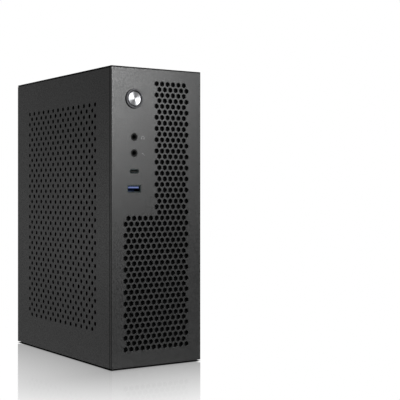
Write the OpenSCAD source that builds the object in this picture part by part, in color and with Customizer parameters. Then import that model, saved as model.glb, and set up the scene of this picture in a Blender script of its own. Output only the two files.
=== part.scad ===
// Slim desktop computer tower for a mini-ITX board.
// Millimetres, +Z up, front at -Y, board on the +X side with its parts facing -X.

/* [Case] */
// outside width
case_width = 97; // [97:1:110]
// outside height, feet included
case_height = 276; // [276:1:300]
// outside depth of the shell
case_depth = 208; // [208:1:230]
// thickness of the front plate
front_thick = 3; // [2.5:0.1:3.5]
// thickness of the two side plates
side_thick = 1.5; // [1.2:0.1:1.5]
// thickness of the top, base, rear and inner sheets
sheet = 1.2; // [1:0.1:1.2]
// radius of the front plate's upright edges
edge_radius = 0.8; // [0.6:0.1:1.4]
// height of the rubber feet
foot_height = 1.5; // [1.2:0.1:3]
// open seam round the side plates
seam = 0.4; // [0.3:0.05:0.5]

/* [Front mesh] */
// thickness of the front plate in its perforated field
mesh_thick = 1.2; // [1:0.1:1.5]
// centre to centre of the hexagons along a row
hex_pitch = 6; // [5.6:0.1:6]
// hexagon size across its flats
hex_flats = 4.62; // [4:0.02:4.8]
// left edge of the case to the first hexagon centre
mesh_left = 14.8; // [14:0.1:16]
// top of the case to the first row
mesh_top = 13.9; // [13:0.1:15]
// rows in the narrow upper block
narrow_rows = 24; // [20:2:24]
// rows in the full-width lower block
wide_rows = 24; // [16:2:24]

/* [Side mesh] */
// diameter of the round holes
side_hole = 4; // [3:0.1:4.4]
// half of the pitch along a row
side_half_pitch = 5.6; // [5.4:0.05:5.6]
// distance between rows
side_row_pitch = 5.36; // [5.2:0.02:5.4]
// number of rows
side_rows = 40; // [31:1:40]
// holes in the longer rows
side_columns = 14; // [10:1:14]

/* [Front controls] */
// left edge of the case to the line of ports
port_line = 23.8; // [23:0.1:25]
// top of the case to the power button
button_drop = 29; // [28:0.5:30]
// top of the case to the headphone jack
headphone_drop = 64.1; // [63.6:0.1:65]
// top of the case to the microphone jack
microphone_drop = 78.85; // [78.5:0.05:79.5]
// top of the case to the USB-C port
usb_c_drop = 95.5; // [95:0.1:96.5]
// top of the case to the USB-A port
usb_a_drop = 111.6; // [111:0.1:113]
// how far the button goes in
button_travel = 1.6; // [1:0.1:1.6]

/* [Cooling] */
// blades on each fan
fan_blades = 7; // [5:2:9]
// fins on the processor cooler
fin_count = 27; // [20:1:29]

/* [Hidden] */
$fn = 48;
tiny = 0.05;
left = -case_width / 2;
right = case_width / 2;
front = -case_depth / 2;
rear = case_depth / 2;
top = case_height;
floor_z = foot_height + sheet;
ceiling_z = top - sheet;
panel_in = side_thick + seam;
flange_in = side_thick + 1.5;
flange_tall = 12;
hex_row = hex_pitch * sqrt(3) / 2;
narrow_first = 11;
hex_last = 22;
screw_bore = 1.55;
clip_bore = 2.3;
clip_outer = 3;
stud_inset_y = 15;
stud_low = floor_z + 6;
stud_high = ceiling_z - 6;
port_x = left + port_line;
button_x = left + port_line - 0.2;
button_z = top - button_drop;
io_board_in = 13;
io_half = 12;
pcb = 1.6;
tray_x = right - flange_in - sheet;
standoff = 6.5;
board_x = tray_x - sheet - standoff - pcb;
board_top = top - 14;
board_bottom = board_top - 170;
board_rear = rear - 3;
board_front = board_rear - 170;
cpu_y = board_rear - 71;
cpu_z = board_bottom + 95;
shield_top = board_bottom + 167;
shield_bottom = shield_top - 158.75;
shield_right = board_x + 2.4;
shield_left = shield_right - 44.45;
slot_z = board_bottom + 4.3;
slot_pitch = 20.32;
slot_mid = slot_z - 6.4;
psu_long = 150;
psu_wide = 81.5;
psu_tall = 40.5;
psu_rear = rear - sheet;
psu_front = psu_rear - psu_long;
psu_top = floor_z + psu_tall;
psu_fan_x = -14;
inlet_x = 20;
psu_mid_z = floor_z + psu_tall / 2;
front_fan_z = floor_z + 91;
front_fan_y = front + front_thick + 27;
drive_floor = psu_top + 1;
drive_front = psu_front + 4;
cooler_top = board_x - 33;
grey = "dimgray";
dark = "#2b2b2e";
steel = "silver";
plastic = "#1a1a1a";
copper = "#b87333";

// ---- helpers ----

// a box between two opposite corners
module block(low, high)
    translate(low)
        cube(high - low);

// a flat x-z outline made thick along y
module along_y(start, thick)
    translate([0, start + thick, 0])
        rotate([90, 0, 0])
            linear_extrude(thick)
                children();

// a flat y-z outline made thick along x
module along_x(start, thick)
    translate([start, 0, 0])
        rotate([90, 0, 90])
            linear_extrude(thick)
                children();

// a flat x-y outline made thick along z
module along_z(start, thick)
    translate([0, 0, start])
        linear_extrude(thick)
            children();

// a rectangle between two corners
module panel(low, high)
    translate(low)
        square(high - low);

// a centred rectangle with round corners
module soft_rect(wide, tall, radius) {
    square([wide - 2 * radius, tall], center = true);
    square([wide, tall - 2 * radius], center = true);
    for (sx = [-1, 1])
        for (sy = [-1, 1])
            translate([sx * (wide / 2 - radius), sy * (tall / 2 - radius)])
                circle(radius);
}

// a round rod between two points
module rod(from, to, radius) {
    run = to - from;
    length = norm(run);
    translate(from)
        rotate([0, acos(run[2] / length), atan2(run[1], run[0])])
            cylinder(h = length, r = radius);
}

// a cable through a list of points
module cable(points, radius) {
    for (k = [0:len(points) - 2])
        rod(points[k], points[k + 1], radius);
    for (k = [1:len(points) - 2])
        translate(points[k])
            sphere(radius * 1.02);
}

// an M3 pan-head screw, head above z = 0
module m3_screw(long = 6) {
    head_radius = 2.8;
    head_tall = 1.7;
    slot_wide = 0.8;
    slot_deep = 0.9;
    difference() {
        union() {
            cylinder(h = head_tall, r = head_radius);
            translate([0, 0, -long])
                cylinder(h = long + tiny, r = 1.5);
        }
        for (a = [0, 90])
            rotate(a)
                translate([-head_radius * 0.7, -slot_wide / 2, head_tall - slot_deep])
                    cube([head_radius * 1.4, slot_wide, slot_deep + 1]);
    }
}

// fan housing, outlet and struts at z = 0, open bore above
module fan_frame(size, depth, bore, holes, hub) {
    flange = 3.5;
    corner = 4;
    ring = 1.6;
    strut = 2.2;
    boss = 4;
    boss_tall = depth * 0.45;
    linear_extrude(depth)
        difference() {
            intersection() {
                circle(bore + ring);
                square(size, center = true);
            }
            circle(bore);
        }
    for (z = [0, depth - flange])
        translate([0, 0, z])
            linear_extrude(flange)
                difference() {
                    soft_rect(size, size, corner);
                    circle(bore + ring / 2);
                    for (a = [0:90:270])
                        rotate(a)
                            translate([holes / 2, holes / 2])
                                circle(2.1);
                }
    difference() {
        union() {
            linear_extrude(strut) {
                circle(hub);
                for (a = [20:90:290])
                    rotate(a)
                        translate([hub - 1, -strut / 2])
                            square([bore - hub + 1.5, strut]);
            }
            cylinder(h = boss_tall, r = boss);
        }
        translate([0, 0, 1])
            cylinder(h = boss_tall, r = 1.56);
    }
}

// fan wheel: hub cup, shaft and pitched blades
module fan_rotor(depth, tip, hub) {
    bottom = 2.8;
    crown = depth - 1.2;
    wall = 1.4;
    blade = 1.1;
    chord = (depth - 4) * 1.35;
    difference() {
        translate([0, 0, bottom])
            cylinder(h = crown - bottom, r = hub);
        translate([0, 0, bottom - 1])
            cylinder(h = depth * 0.45 + 2.2 - bottom, r = hub - wall);
    }
    translate([0, 0, 2])
        cylinder(h = crown - 3, r = 1.5);
    intersection() {
        translate([0, 0, bottom])
            difference() {
                cylinder(h = crown - bottom - 0.6, r = tip);
                translate([0, 0, -1])
                    cylinder(h = depth + 2, r = hub - 0.3);
            }
        for (k = [0:fan_blades - 1])
            rotate(k * 360 / fan_blades)
                translate([0, 0, depth / 2])
                    rotate([42, 0, 0])
                        translate([hub - 3, -blade / 2, -chord])
                            cube([tip - hub + 6, blade, 2 * chord]);
    }
}

// ---- case ----

// centres of the hexagons
module hex_holes() {
    radius = hex_flats / sqrt(3);
    for (j = [0:narrow_rows + wide_rows - 1]) {
        wide = j >= narrow_rows;
        shift = (j + 1) % 2;
        first = wide ? shift : narrow_first + 1 - shift;
        for (i = [first:2:hex_last - shift])
            translate([left + mesh_left + i * hex_pitch / 2, top - mesh_top - j * hex_row])
                rotate(30)
                    circle(radius, $fn = 6);
    }
}

// thinned field behind the mesh, a margin past its outer holes
module mesh_pocket() {
    margin = 3.6;
    right_end = left + mesh_left + hex_last * hex_pitch / 2 + margin;
    narrow_left = left + mesh_left + narrow_first * hex_pitch / 2 - margin;
    first_row = top - mesh_top;
    first_wide = first_row - narrow_rows * hex_row;
    last_row = first_row - (narrow_rows + wide_rows - 1) * hex_row;
    along_y(front + mesh_thick, front_thick) {
        panel([narrow_left, first_wide], [right_end, first_row + margin]);
        panel([left + mesh_left - margin, last_row - margin], [right_end, first_wide + margin]);
    }
}

// front plate at its full thickness, with its openings
module front_sheet() {
    jack_hole = 3.6;
    intersection() {
        along_y(front, front_thick)
            difference() {
                panel([left, foot_height], [right, ceiling_z]);
                hex_holes();
                translate([button_x, button_z])
                    circle(8.1);
                translate([port_x, top - headphone_drop])
                    circle(jack_hole);
                translate([port_x, top - microphone_drop])
                    circle(jack_hole);
                translate([port_x, top - usb_c_drop])
                    soft_rect(10, 4.3, 2.1);
                translate([port_x, top - usb_a_drop])
                    soft_rect(14.6, 7, 0.5);
            }
        along_z(0, top)
            translate([0, front + case_depth / 2])
                soft_rect(case_width, case_depth, edge_radius);
    }
}

module front_panel()
    color(grey)
        difference() {
            front_sheet();
            mesh_pocket();
        }

// inner flange of the top or base sheet, with the clip holes
module flange(inner_x, low, stud_z)
    along_x(inner_x, sheet)
        difference() {
            panel([front + front_thick, low], [rear - sheet, low + flange_tall]);
            for (y = [front + stud_inset_y, rear - stud_inset_y])
                translate([y, stud_z])
                    circle(clip_outer + 0.02);
        }

module top_panel()
    color(grey) {
        along_z(ceiling_z, sheet)
            soft_rect(case_width, case_depth, edge_radius);
        for (x = [left + flange_in, right - flange_in - sheet])
            flange(x, ceiling_z - flange_tall, stud_high);
    }

module base_plate() {
    edge = case_width / 2 - panel_in;
    color(grey) {
        along_z(foot_height, sheet)
            panel([-edge, front + front_thick], [edge, rear]);
        for (x = [left + flange_in, right - flange_in - sheet])
            flange(x, floor_z, stud_low);
    }
}

// holes of the screws that hold the power supply and the slot covers
psu_screw_places = [[-36, psu_mid_z + 16], [36, psu_mid_z + 16], [36, psu_mid_z - 16]];
slot_screw_places = [for (k = [0:1]) [board_x - 68, slot_mid - k * slot_pitch]];

module rear_panel() {
    edge = case_width / 2 - panel_in;
    slot_open = 12.4;
    vent_rows = 4;
    vent_pitch = 6;
    color(grey)
        along_y(rear - sheet, sheet)
            difference() {
                panel([-edge, floor_z], [edge, ceiling_z]);
                panel([shield_left, shield_bottom], [shield_right, shield_top]);
                for (k = [0:1])
                    panel([board_x - 63, slot_mid - k * slot_pitch - slot_open / 2],
                        [board_x + 1, slot_mid - k * slot_pitch + slot_open / 2]);
                panel([-33, psu_mid_z - 18.8], [33, psu_mid_z + 18.8]);
                for (p = psu_screw_places)
                    translate(p)
                        circle(screw_bore);
                for (p = slot_screw_places)
                    translate(p)
                        circle(screw_bore);
                // vent field beside the port plate
                for (j = [0:23])
                    for (i = [0:vent_rows - 1])
                        translate([shield_left - 8 - i * vent_pitch - (j % 2) * vent_pitch / 2,
                                shield_bottom + 12 + j * 5.6])
                            circle(2);
            }
}

// side plate seen from outside, front edge bevelled
module side_plate() {
    first_y = front + 31.3;
    first_z = top - 33.2;
    bevel = 0.5;
    plate_front = front + front_thick + seam;
    intersection() {
        along_x(left, side_thick)
            difference() {
                panel([plate_front, foot_height], [rear, ceiling_z - seam]);
                for (j = [0:side_rows - 1])
                    for (i = [j % 2:2:2 * side_columns - 2 - j % 2])
                        translate([first_y + i * side_half_pitch, first_z - j * side_row_pitch])
                            circle(side_hole / 2, $fn = 24);
            }
        along_z(0, top)
            polygon([[left, plate_front + bevel], [left + bevel, plate_front],
                [left + side_thick, plate_front], [left + side_thick, rear], [left, rear]]);
    }
}

module left_side_panel()
    color(grey)
        side_plate();

module right_side_panel()
    color(grey)
        mirror([1, 0, 0])
            side_plate();

// the four places where a side plate snaps on
stud_places = [for (y = [front + stud_inset_y, rear - stud_inset_y]) for (z = [stud_low, stud_high])
    [y, z]];

module side_studs() {
    ball = 1.9;
    neck = 1.2;
    reach = 3.8;
    for (p = stud_places)
        translate([left + side_thick, p[0], p[1]])
            rotate([0, 90, 0]) {
                cylinder(h = reach, r = neck);
                translate([0, 0, reach])
                    sphere(ball);
            }
}

module left_panel_studs()
    color(steel)
        side_studs();

module right_panel_studs()
    color(steel)
        mirror([1, 0, 0])
            side_studs();

module panel_clips() {
    collar = 4.2;
    collar_thick = 0.9;
    sleeve = 4.2;
    slit = 1;
    color(plastic)
        for (m = [0, 1])
            mirror([m, 0, 0])
                for (p = stud_places)
                    translate([left + flange_in, p[0], p[1]])
                        rotate([0, 90, 0])
                            difference() {
                                union() {
                                    translate([0, 0, -collar_thick])
                                        cylinder(h = collar_thick, r = collar);
                                    cylinder(h = sleeve, r = clip_outer);
                                }
                                translate([0, 0, -2])
                                    cylinder(h = sleeve + 3, r = clip_bore);
                                for (a = [0, 90])
                                    rotate(a)
                                        translate([-6, -slit / 2, sheet + 1])
                                            cube([12, slit, sleeve]);
                            }
}

module feet() {
    inset_x = 14;
    inset_y = 19;
    color(plastic)
        for (x = [left + inset_x, right - inset_x])
            for (y = [front + inset_y, rear - inset_y])
                translate([x, y, 0])
                    cylinder(h = foot_height, r1 = 7, r2 = 7.5);
}

// holes of a mini-ITX board
board_holes = [for (y = [board_rear - 10.16, board_rear - 165.1])
    for (z = [board_bottom + 6.35, board_bottom + 163.83]) [y, z]];

module motherboard_tray() {
    window = 46;
    low = board_bottom - 4;
    high = ceiling_z - 1;
    color(steel)
        along_x(tray_x - sheet, sheet)
            difference() {
                panel([board_front - 2, low], [rear - sheet, high]);
                translate([cpu_y, cpu_z])
                    soft_rect(2 * window, 2 * window, 4);
                for (p = board_holes)
                    translate(p)
                        circle(screw_bore);
                for (y = [board_front + 3, rear - stud_inset_y])
                    translate([y, stud_high])
                        circle(clip_outer + 1);
            }
}

// one screw for each fixing of this size
module m3_screws() {
    color(steel) {
        for (p = board_holes)
            translate([board_x, p[0], p[1]])
                rotate([0, -90, 0])
                    m3_screw();
        for (p = concat(psu_screw_places, slot_screw_places))
            translate([p[0], rear, p[1]])
                rotate([-90, 0, 0])
                    m3_screw(2.6);
        for (s = [-1, 1])
            translate([port_x + s * 8.6, front + io_board_in, top - 88 - s * (-16)])
                rotate([90, 0, 0])
                    m3_screw(4);
        for (s = [-1, 1])
            for (y = [drive_front + 14, drive_front + 90.6])
                translate([s * 36.1, y, drive_floor + 3])
                    rotate([0, s * 90, 0])
                        m3_screw(4);
    }
}

// ---- power button ----

// a ring profile turned about the button's axis: radii and depths behind the front face
module turned(points)
    translate([button_x, front, button_z])
        rotate([-90, 0, 0])
            rotate_extrude()
                polygon(points);

shoulder = 6;
guide_end = 9;

module power_button_housing() {
    bezel = 9;
    bezel_out = 1.4;
    lip = 0.3;
    bore = 7.1;
    barrel = 7.95;
    barrel_end = 19;
    color(dark)
        turned([[bore, -bezel_out + lip], [bore + lip, -bezel_out], [bezel - lip, -bezel_out],
            [bezel, -bezel_out + lip], [bezel, 0], [barrel, 0], [barrel, barrel_end],
            [6, barrel_end], [6, guide_end], [3.6, guide_end], [3.6, shoulder], [bore, shoulder]]);
}

module power_button_cap() {
    face = 6.8;
    face_out = 1.1;
    dish = 0.25;
    stem = 3.2;
    color(steel)
        turned([[0, -face_out + dish], [face - 0.6, -face_out], [face - 0.2, -face_out],
            [face, -face_out + 0.2], [face, 2], [stem, 2], [stem, guide_end + 0.4],
            [4.6, guide_end + 0.4], [4.6, guide_end + 1.2], [stem, guide_end + 1.2],
            [stem, 11], [0, 11]]);
}

module power_button_spring() {
    wire = 0.35;
    coil = 4.9;
    turns = 3;
    low = 2 + wire + 0.02;
    high = shoulder - wire - 0.02;
    steps = 72;
    sides = 8;
    function ring(k) = [for (m = [0:sides - 1])
        let (a = k / steps * 360 * turns, b = m * 360 / sides, r = coil + wire * cos(b))
            [r * cos(a), r * sin(a), low + (high - low) * k / steps + wire * sin(b)]];
    points = [for (k = [0:steps]) each ring(k)];
    skin = [for (k = [0:steps - 1]) for (m = [0:sides - 1])
        [k * sides + m, k * sides + (m + 1) % sides, (k + 1) * sides + (m + 1) % sides,
            (k + 1) * sides + m]];
    ends = [[for (m = [sides - 1:-1:0]) m], [for (m = [0:sides - 1]) steps * sides + m]];
    color(steel)
        translate([button_x, front, button_z])
            rotate([-90, 0, 0])
                polyhedron(points, concat(skin, ends));
}

module power_button_nut() {
    flats = 19;
    thick = 2.6;
    color(steel)
        along_y(front + front_thick, thick)
            translate([button_x, button_z])
                difference() {
                    circle(flats / sqrt(3), $fn = 6);
                    circle(7.98);
                }
}

module power_switch() {
    body = 5.95;
    body_start = 13;
    body_end = 20;
    pin = 1.2;
    color(plastic)
        translate([button_x, front, button_z])
            rotate([-90, 0, 0]) {
                translate([0, 0, body_start])
                    cylinder(h = body_end - body_start, r = body);
                for (x = [-3, 3])
                    translate([x - 1.4, -pin / 4, body_end - tiny])
                        cube([2.8, pin / 2, 5]);
            }
}

// ---- front ports ----

module front_io_board()
    color("darkgreen")
        along_y(front + io_board_in, pcb)
            difference() {
                panel([port_x - io_half, top - 120], [port_x + io_half, top - 56]);
                for (s = [-1, 1])
                    translate([port_x + s * 8.6, top - 88 - s * (-16)])
                        circle(screw_bore);
            }

module front_io_bracket() {
    thick = 1;
    low = top - 122;
    high = top - 54;
    back = front + io_board_in + pcb;
    inner = front + front_thick;
    color(steel) {
        along_y(back, thick)
            difference() {
                panel([port_x - io_half, low], [port_x + io_half, high]);
                panel([port_x - 6, low + 8], [port_x + 6, high - 8]);
                for (s = [-1, 1])
                    translate([port_x + s * 8.6, top - 88 - s * (-16)])
                        circle(screw_bore);
            }
        for (z = [low, high - thick])
            block([port_x - io_half, inner, z], [port_x + io_half, back + tiny, z + thick]);
        block([port_x - io_half, inner, low - 8], [port_x + io_half, inner + thick, low + thick]);
    }
}

// a thin metal shell round a socket
module port_shell(drop, wide, tall, corner, wall)
    along_y(front + 0.6, io_board_in - 0.6)
        translate([port_x, top - drop])
            difference() {
                soft_rect(wide, tall, corner);
                soft_rect(wide - 2 * wall, tall - 2 * wall, corner - wall * 0.8);
            }

module usb_a_shell()
    color(steel)
        port_shell(usb_a_drop, 13.9, 6.2, 0.6, 0.45);

module usb_a_tongue() {
    color("royalblue") {
        block([port_x - 5.6, front + 1.4, top - usb_a_drop + 0.3],
            [port_x + 5.6, front + io_board_in - 2, top - usb_a_drop + 2.2]);
        block([port_x - 6.4, front + io_board_in - 2 - tiny, top - usb_a_drop - 2.6],
            [port_x + 6.4, front + io_board_in, top - usb_a_drop + 2.6]);
    }
}

module usb_c_shell()
    color(steel)
        port_shell(usb_c_drop, 9.2, 3.4, 1.65, 0.3);

module usb_c_tongue() {
    color(plastic) {
        block([port_x - 3.35, front + 1.2, top - usb_c_drop - 0.35],
            [port_x + 3.35, front + io_board_in - 2, top - usb_c_drop + 0.35]);
        block([port_x - 3.6, front + io_board_in - 2 - tiny, top - usb_c_drop - 1.2],
            [port_x + 3.6, front + io_board_in, top - usb_c_drop + 1.2]);
    }
}

// a 3.5 mm audio socket behind the front plate
module audio_socket(drop) {
    nose = 3.4;
    plug = 1.8;
    half = 5.4;
    color(plastic)
        difference() {
            union() {
                along_y(front + 1.6, 3)
                    translate([port_x, top - drop])
                        circle(nose);
                along_y(front + front_thick + 0.2, io_board_in - front_thick - 0.2)
                    translate([port_x, top - drop])
                        square(2 * half, center = true);
            }
            along_y(front - 1, io_board_in)
                translate([port_x, top - drop])
                    circle(plug);
        }
}

module headphone_jack()
    audio_socket(headphone_drop);

module microphone_jack()
    audio_socket(microphone_drop);

// ---- main board ----

module motherboard_pcb()
    color("#1f2a24")
        along_x(board_x, pcb)
            difference() {
                panel([board_front, board_bottom], [board_rear, board_top]);
                for (p = board_holes)
                    translate(p)
                        circle(screw_bore);
                for (a = [45:90:315])
                    translate([cpu_y + 53 * cos(a), cpu_z + 53 * sin(a)])
                        circle(1.9);
            }

module board_standoffs()
    color("goldenrod")
        for (p = board_holes)
            along_x(board_x + pcb, standoff)
                translate(p)
                    difference() {
                        circle(5.5 / sqrt(3), $fn = 6);
                        circle(screw_bore);
                    }

module cpu_socket()
    color(steel)
        along_x(board_x - 4, 4)
            translate([cpu_y, cpu_z])
                difference() {
                    soft_rect(44, 52, 2);
                    soft_rect(38, 38, 0.5);
                }

module processor()
    color("gainsboro") {
        along_x(board_x - 3.2, 3.2)
            translate([cpu_y, cpu_z])
                square(37.5, center = true);
        along_x(board_x - 6, 2.85)
            translate([cpu_y, cpu_z])
                soft_rect(31, 31, 2);
    }

module cooler_heatsink() {
    half = 45;
    foot = board_x - 6;
    plate = 3;
    fin = 0.6;
    fin_root = foot - 3;
    pitch = (2 * half - fin) / (fin_count - 1);
    color("lightgray") {
        along_x(fin_root - tiny, 3 + tiny)
            translate([cpu_y, cpu_z])
                square(36, center = true);
        along_x(fin_root - plate, plate)
            translate([cpu_y, cpu_z])
                soft_rect(2 * half, 2 * half, 2);
        for (k = [0:fin_count - 1])
            block([cooler_top, cpu_y - half + 2, cpu_z - half + k * pitch],
                [fin_root - plate + tiny, cpu_y + half - 2, cpu_z - half + k * pitch + fin]);
        for (a = [45:90:315])
            translate([fin_root - tiny, cpu_y + 53 * cos(a), cpu_z + 53 * sin(a)])
                rotate([0, 90, 0])
                    cylinder(h = board_x - fin_root + tiny, r = 2.6);
    }
}

module place_cooler_fan()
    translate([cooler_top, cpu_y, cpu_z])
        rotate([0, -90, 0])
            children();

module cooler_fan_frame()
    color(plastic)
        place_cooler_fan()
            fan_frame(92, 20, 44, 82.5, 20);

module cooler_fan_rotor()
    color(dark)
        place_cooler_fan()
            fan_rotor(20, 43, 19);

// centre lines of the two memory slots
ram_places = [board_front + 7, board_front + 16.5];
ram_low = board_bottom + 17;

module ram_slots() {
    long = 141;
    color(plastic)
        for (y = ram_places)
            difference() {
                block([board_x - 6, y - 3.2, ram_low - 3.8], [board_x, y + 3.2, ram_low - 3.8 + long]);
                block([board_x - 7, y - 0.8, ram_low - 0.1],
                    [board_x - 1.2, y + 0.8, ram_low + 133.45]);
            }
}

module ram_modules() {
    long = 133.35;
    tall = 31.2;
    bottom = board_x - 1.3;
    color("#183018")
        for (y = ram_places) {
            block([bottom - tall, y - 0.6, ram_low], [bottom, y + 0.6, ram_low + long]);
            for (k = [0:7])
                block([bottom - 24, y - 1.7, ram_low + 6 + k * 15.6],
                    [bottom - 11, y - 0.55, ram_low + 6 + k * 15.6 + 10]);
        }
}

// finned blocks over the voltage regulators and over the chipset
module board_heatsinks() {
    vrm_low = [board_x - 16, board_rear - 66, board_bottom + 145];
    vrm_high = [board_x, board_rear - 20, board_bottom + 158];
    hub_low = [board_x - 9, board_front + 26, board_bottom + 22];
    hub_high = [board_x, board_front + 54, board_bottom + 48];
    color(dark) {
        difference() {
            block(vrm_low, vrm_high);
            for (k = [0:8])
                block([vrm_low[0] - 1, vrm_low[1] + 3 + k * 4.8, vrm_low[2] - 1],
                    [board_x - 4, vrm_low[1] + 5.2 + k * 4.8, vrm_high[2] + 1]);
        }
        difference() {
            block(hub_low, hub_high);
            for (k = [0:4])
                block([hub_low[0] - 1, hub_low[1] - 1, hub_low[2] + 3 + k * 4.6],
                    [board_x - 3.5, hub_high[1] + 1, hub_low[2] + 5 + k * 4.6]);
        }
    }
}

module pcie_slot() {
    long = 89;
    y1 = board_rear - 44;
    color(plastic)
        difference() {
            block([board_x - 11, y1 - long, slot_z - 3.7], [board_x, y1, slot_z + 3.7]);
            block([board_x - 12, y1 - long + 2, slot_z - 0.9], [board_x - 3, y1 - 14.5, slot_z + 0.9]);
            block([board_x - 12, y1 - 12.7, slot_z - 0.9], [board_x - 3, y1 - 2, slot_z + 0.9]);
        }
}

// a power header with a grid of square sockets
module power_header(y0, z0, pins, rows) {
    cell = 4.2;
    tall = 12.8;
    color(plastic)
        difference() {
            block([board_x - tall, y0, z0], [board_x, y0 + pins * cell + 1, z0 + rows * cell + 1]);
            for (i = [0:pins - 1])
                for (j = [0:rows - 1])
                    block([board_x - tall - 1, y0 + 1 + i * cell, z0 + 1 + j * cell],
                        [board_x - 3, y0 + i * cell + cell, z0 + j * cell + cell]);
        }
}

atx_y = board_front + 26;
atx_z = board_top - 11;
cpu_power_y = board_rear - 28;
cpu_power_z = board_top - 6.4 - 4.2;

module atx_connector()
    power_header(atx_y, atx_z, 12, 2);

module cpu_power_connector()
    power_header(cpu_power_y - 13, cpu_power_z, 4, 2);

// near corners of the small headers: y, z
usb_header = [board_front + 27, board_bottom + 126];
audio_header = [board_rear - 60, board_bottom + 12];
button_header = [board_front + 27, board_bottom + 100];
cooler_header = [board_front + 44, board_bottom + 118];
front_fan_header = [board_front + 27, board_bottom + 56];
sata_header = [board_front + 40, board_bottom + 68];

module board_headers()
    color(plastic) {
        block([board_x - 9, usb_header[0], usb_header[1]],
            [board_x, usb_header[0] + 7, usb_header[1] + 27]);
        for (h = [audio_header, button_header, cooler_header, front_fan_header])
            block([board_x - 8, h[0], h[1]], [board_x, h[0] + 5, h[1] + 10]);
        block([board_x - 8, sata_header[0], sata_header[1]],
            [board_x, sata_header[0] + 6, sata_header[1] + 14]);
    }

module m2_drive() {
    y0 = board_rear - 104;
    z0 = board_bottom + 24;
    color("#10301c") {
        block([board_x - 4.8, y0, z0], [board_x - 4, y0 + 80, z0 + 22]);
        for (k = [0:3])
            block([board_x - 6, y0 + 8 + k * 17, z0 + 3],
                [board_x - 4.8 + tiny, y0 + 20 + k * 17, z0 + 19]);
        block([board_x - 5.4, y0 + 79, z0], [board_x, y0 + 84, z0 + 22]);
        translate([board_x - 4.1, y0 + 1.5, z0 + 11])
            rotate([0, 90, 0])
                cylinder(h = 4.1, r = 2.4);
    }
}

module coin_cell()
    color(steel)
        translate([board_x, board_front + 44, board_bottom + 98]) {
            rotate([0, -90, 0]) {
                difference() {
                    cylinder(h = 4.4, r = 11.4);
                    translate([0, 0, 1])
                        cylinder(h = 4, r = 10.2);
                }
                translate([0, 0, 1 - tiny])
                    cylinder(h = 3.2, r = 10);
            }
        }

// rear sockets: distance up the board and width along z, height off the board
port_front = board_rear - 17;
port_end = rear - 0.6;
audio_up = 12;
network_up = 34;
usb_ups = [58, 80, 128];
video_up = 104;

// a rear socket block with a recess
module rear_socket(up, wide, start, tall, wall)
    difference() {
        block([board_x - start - tall, port_front, board_bottom + up],
            [board_x - start, port_end, board_bottom + up + wide]);
        block([board_x - start - tall + wall, port_front + 3, board_bottom + up + wall],
            [board_x - start - wall, port_end + 1, board_bottom + up + wide - wall]);
    }

module rear_usb_ports()
    color(steel)
        for (up = usb_ups)
            for (k = [0, 1]) {
                rear_socket(up, 14.4, k * 7.8, 7.8, 0.6);
                block([board_x - k * 7.8 - 6.4, port_front + 2.9, board_bottom + up + 1.7],
                    [board_x - k * 7.8 - 4.5, port_end - 0.8, board_bottom + up + 12.7]);
            }

module network_jack()
    color(steel)
        rear_socket(network_up, 16.4, 0, 13.6, 1.6);

module video_ports()
    color(steel)
        for (k = [0, 1]) {
            rear_socket(video_up, 16, k * 9, 8, 0.8);
            block([board_x - k * 9 - 4.6, port_front + 2.9, board_bottom + video_up + 3],
                [board_x - k * 9 - 3.4, port_end - 0.8, board_bottom + video_up + 13]);
        }

module audio_jacks() {
    pitch = 11.6;
    wide = 12.6;
    gap = 0.4;
    mouth = rear - 2.4;
    color(plastic)
        for (k = [0:2])
            translate([board_x - (k + 0.5) * pitch, 0, board_bottom + audio_up + wide / 2])
                difference() {
                    union() {
                        block([-(pitch - gap) / 2, port_front, -wide / 2],
                            [(pitch - gap) / 2, mouth, wide / 2]);
                        along_y(mouth - tiny, 2.4)
                            circle(4.2);
                    }
                    along_y(rear - 14, 16)
                        circle(1.8);
                }
}

module io_shield() {
    gap = 0.3;
    color(steel) {
        along_y(rear - sheet - tiny, 0.6 + tiny)
            difference() {
                panel([shield_left + 0.1, shield_bottom + 0.1], [shield_right - 0.1, shield_top - 0.1]);
                for (up = usb_ups)
                    panel([board_x - 15.6 - gap, board_bottom + up - gap],
                        [board_x + gap, board_bottom + up + 14.4 + gap]);
                panel([board_x - 13.6 - gap, board_bottom + network_up - gap],
                    [board_x + gap, board_bottom + network_up + 16.4 + gap]);
                panel([board_x - 17 - gap, board_bottom + video_up - gap],
                    [board_x + gap, board_bottom + video_up + 16 + gap]);
                for (k = [0:2])
                    translate([board_x - (k + 0.5) * 11.6, board_bottom + audio_up + 6.3])
                        circle(4.2 + gap);
            }
        // lip that snaps behind the rear sheet
        along_y(rear - sheet - 0.6, 0.6)
            difference() {
                panel([shield_left - 0.8, shield_bottom - 0.8], [shield_right + 0.8, shield_top + 0.8]);
                panel([shield_left + 1, shield_bottom + 1], [shield_right - 1, shield_top - 1]);
            }
    }
}

module slot_covers() {
    wide = 18.4;
    color(steel)
        for (k = [0:1])
            along_y(rear - sheet - 0.9, 0.9)
                difference() {
                    panel([board_x - 72, slot_mid - k * slot_pitch - wide / 2],
                        [board_x + 3, slot_mid - k * slot_pitch + wide / 2]);
                    translate(slot_screw_places[k])
                        circle(screw_bore);
                }
}

// ---- power supply ----

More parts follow.
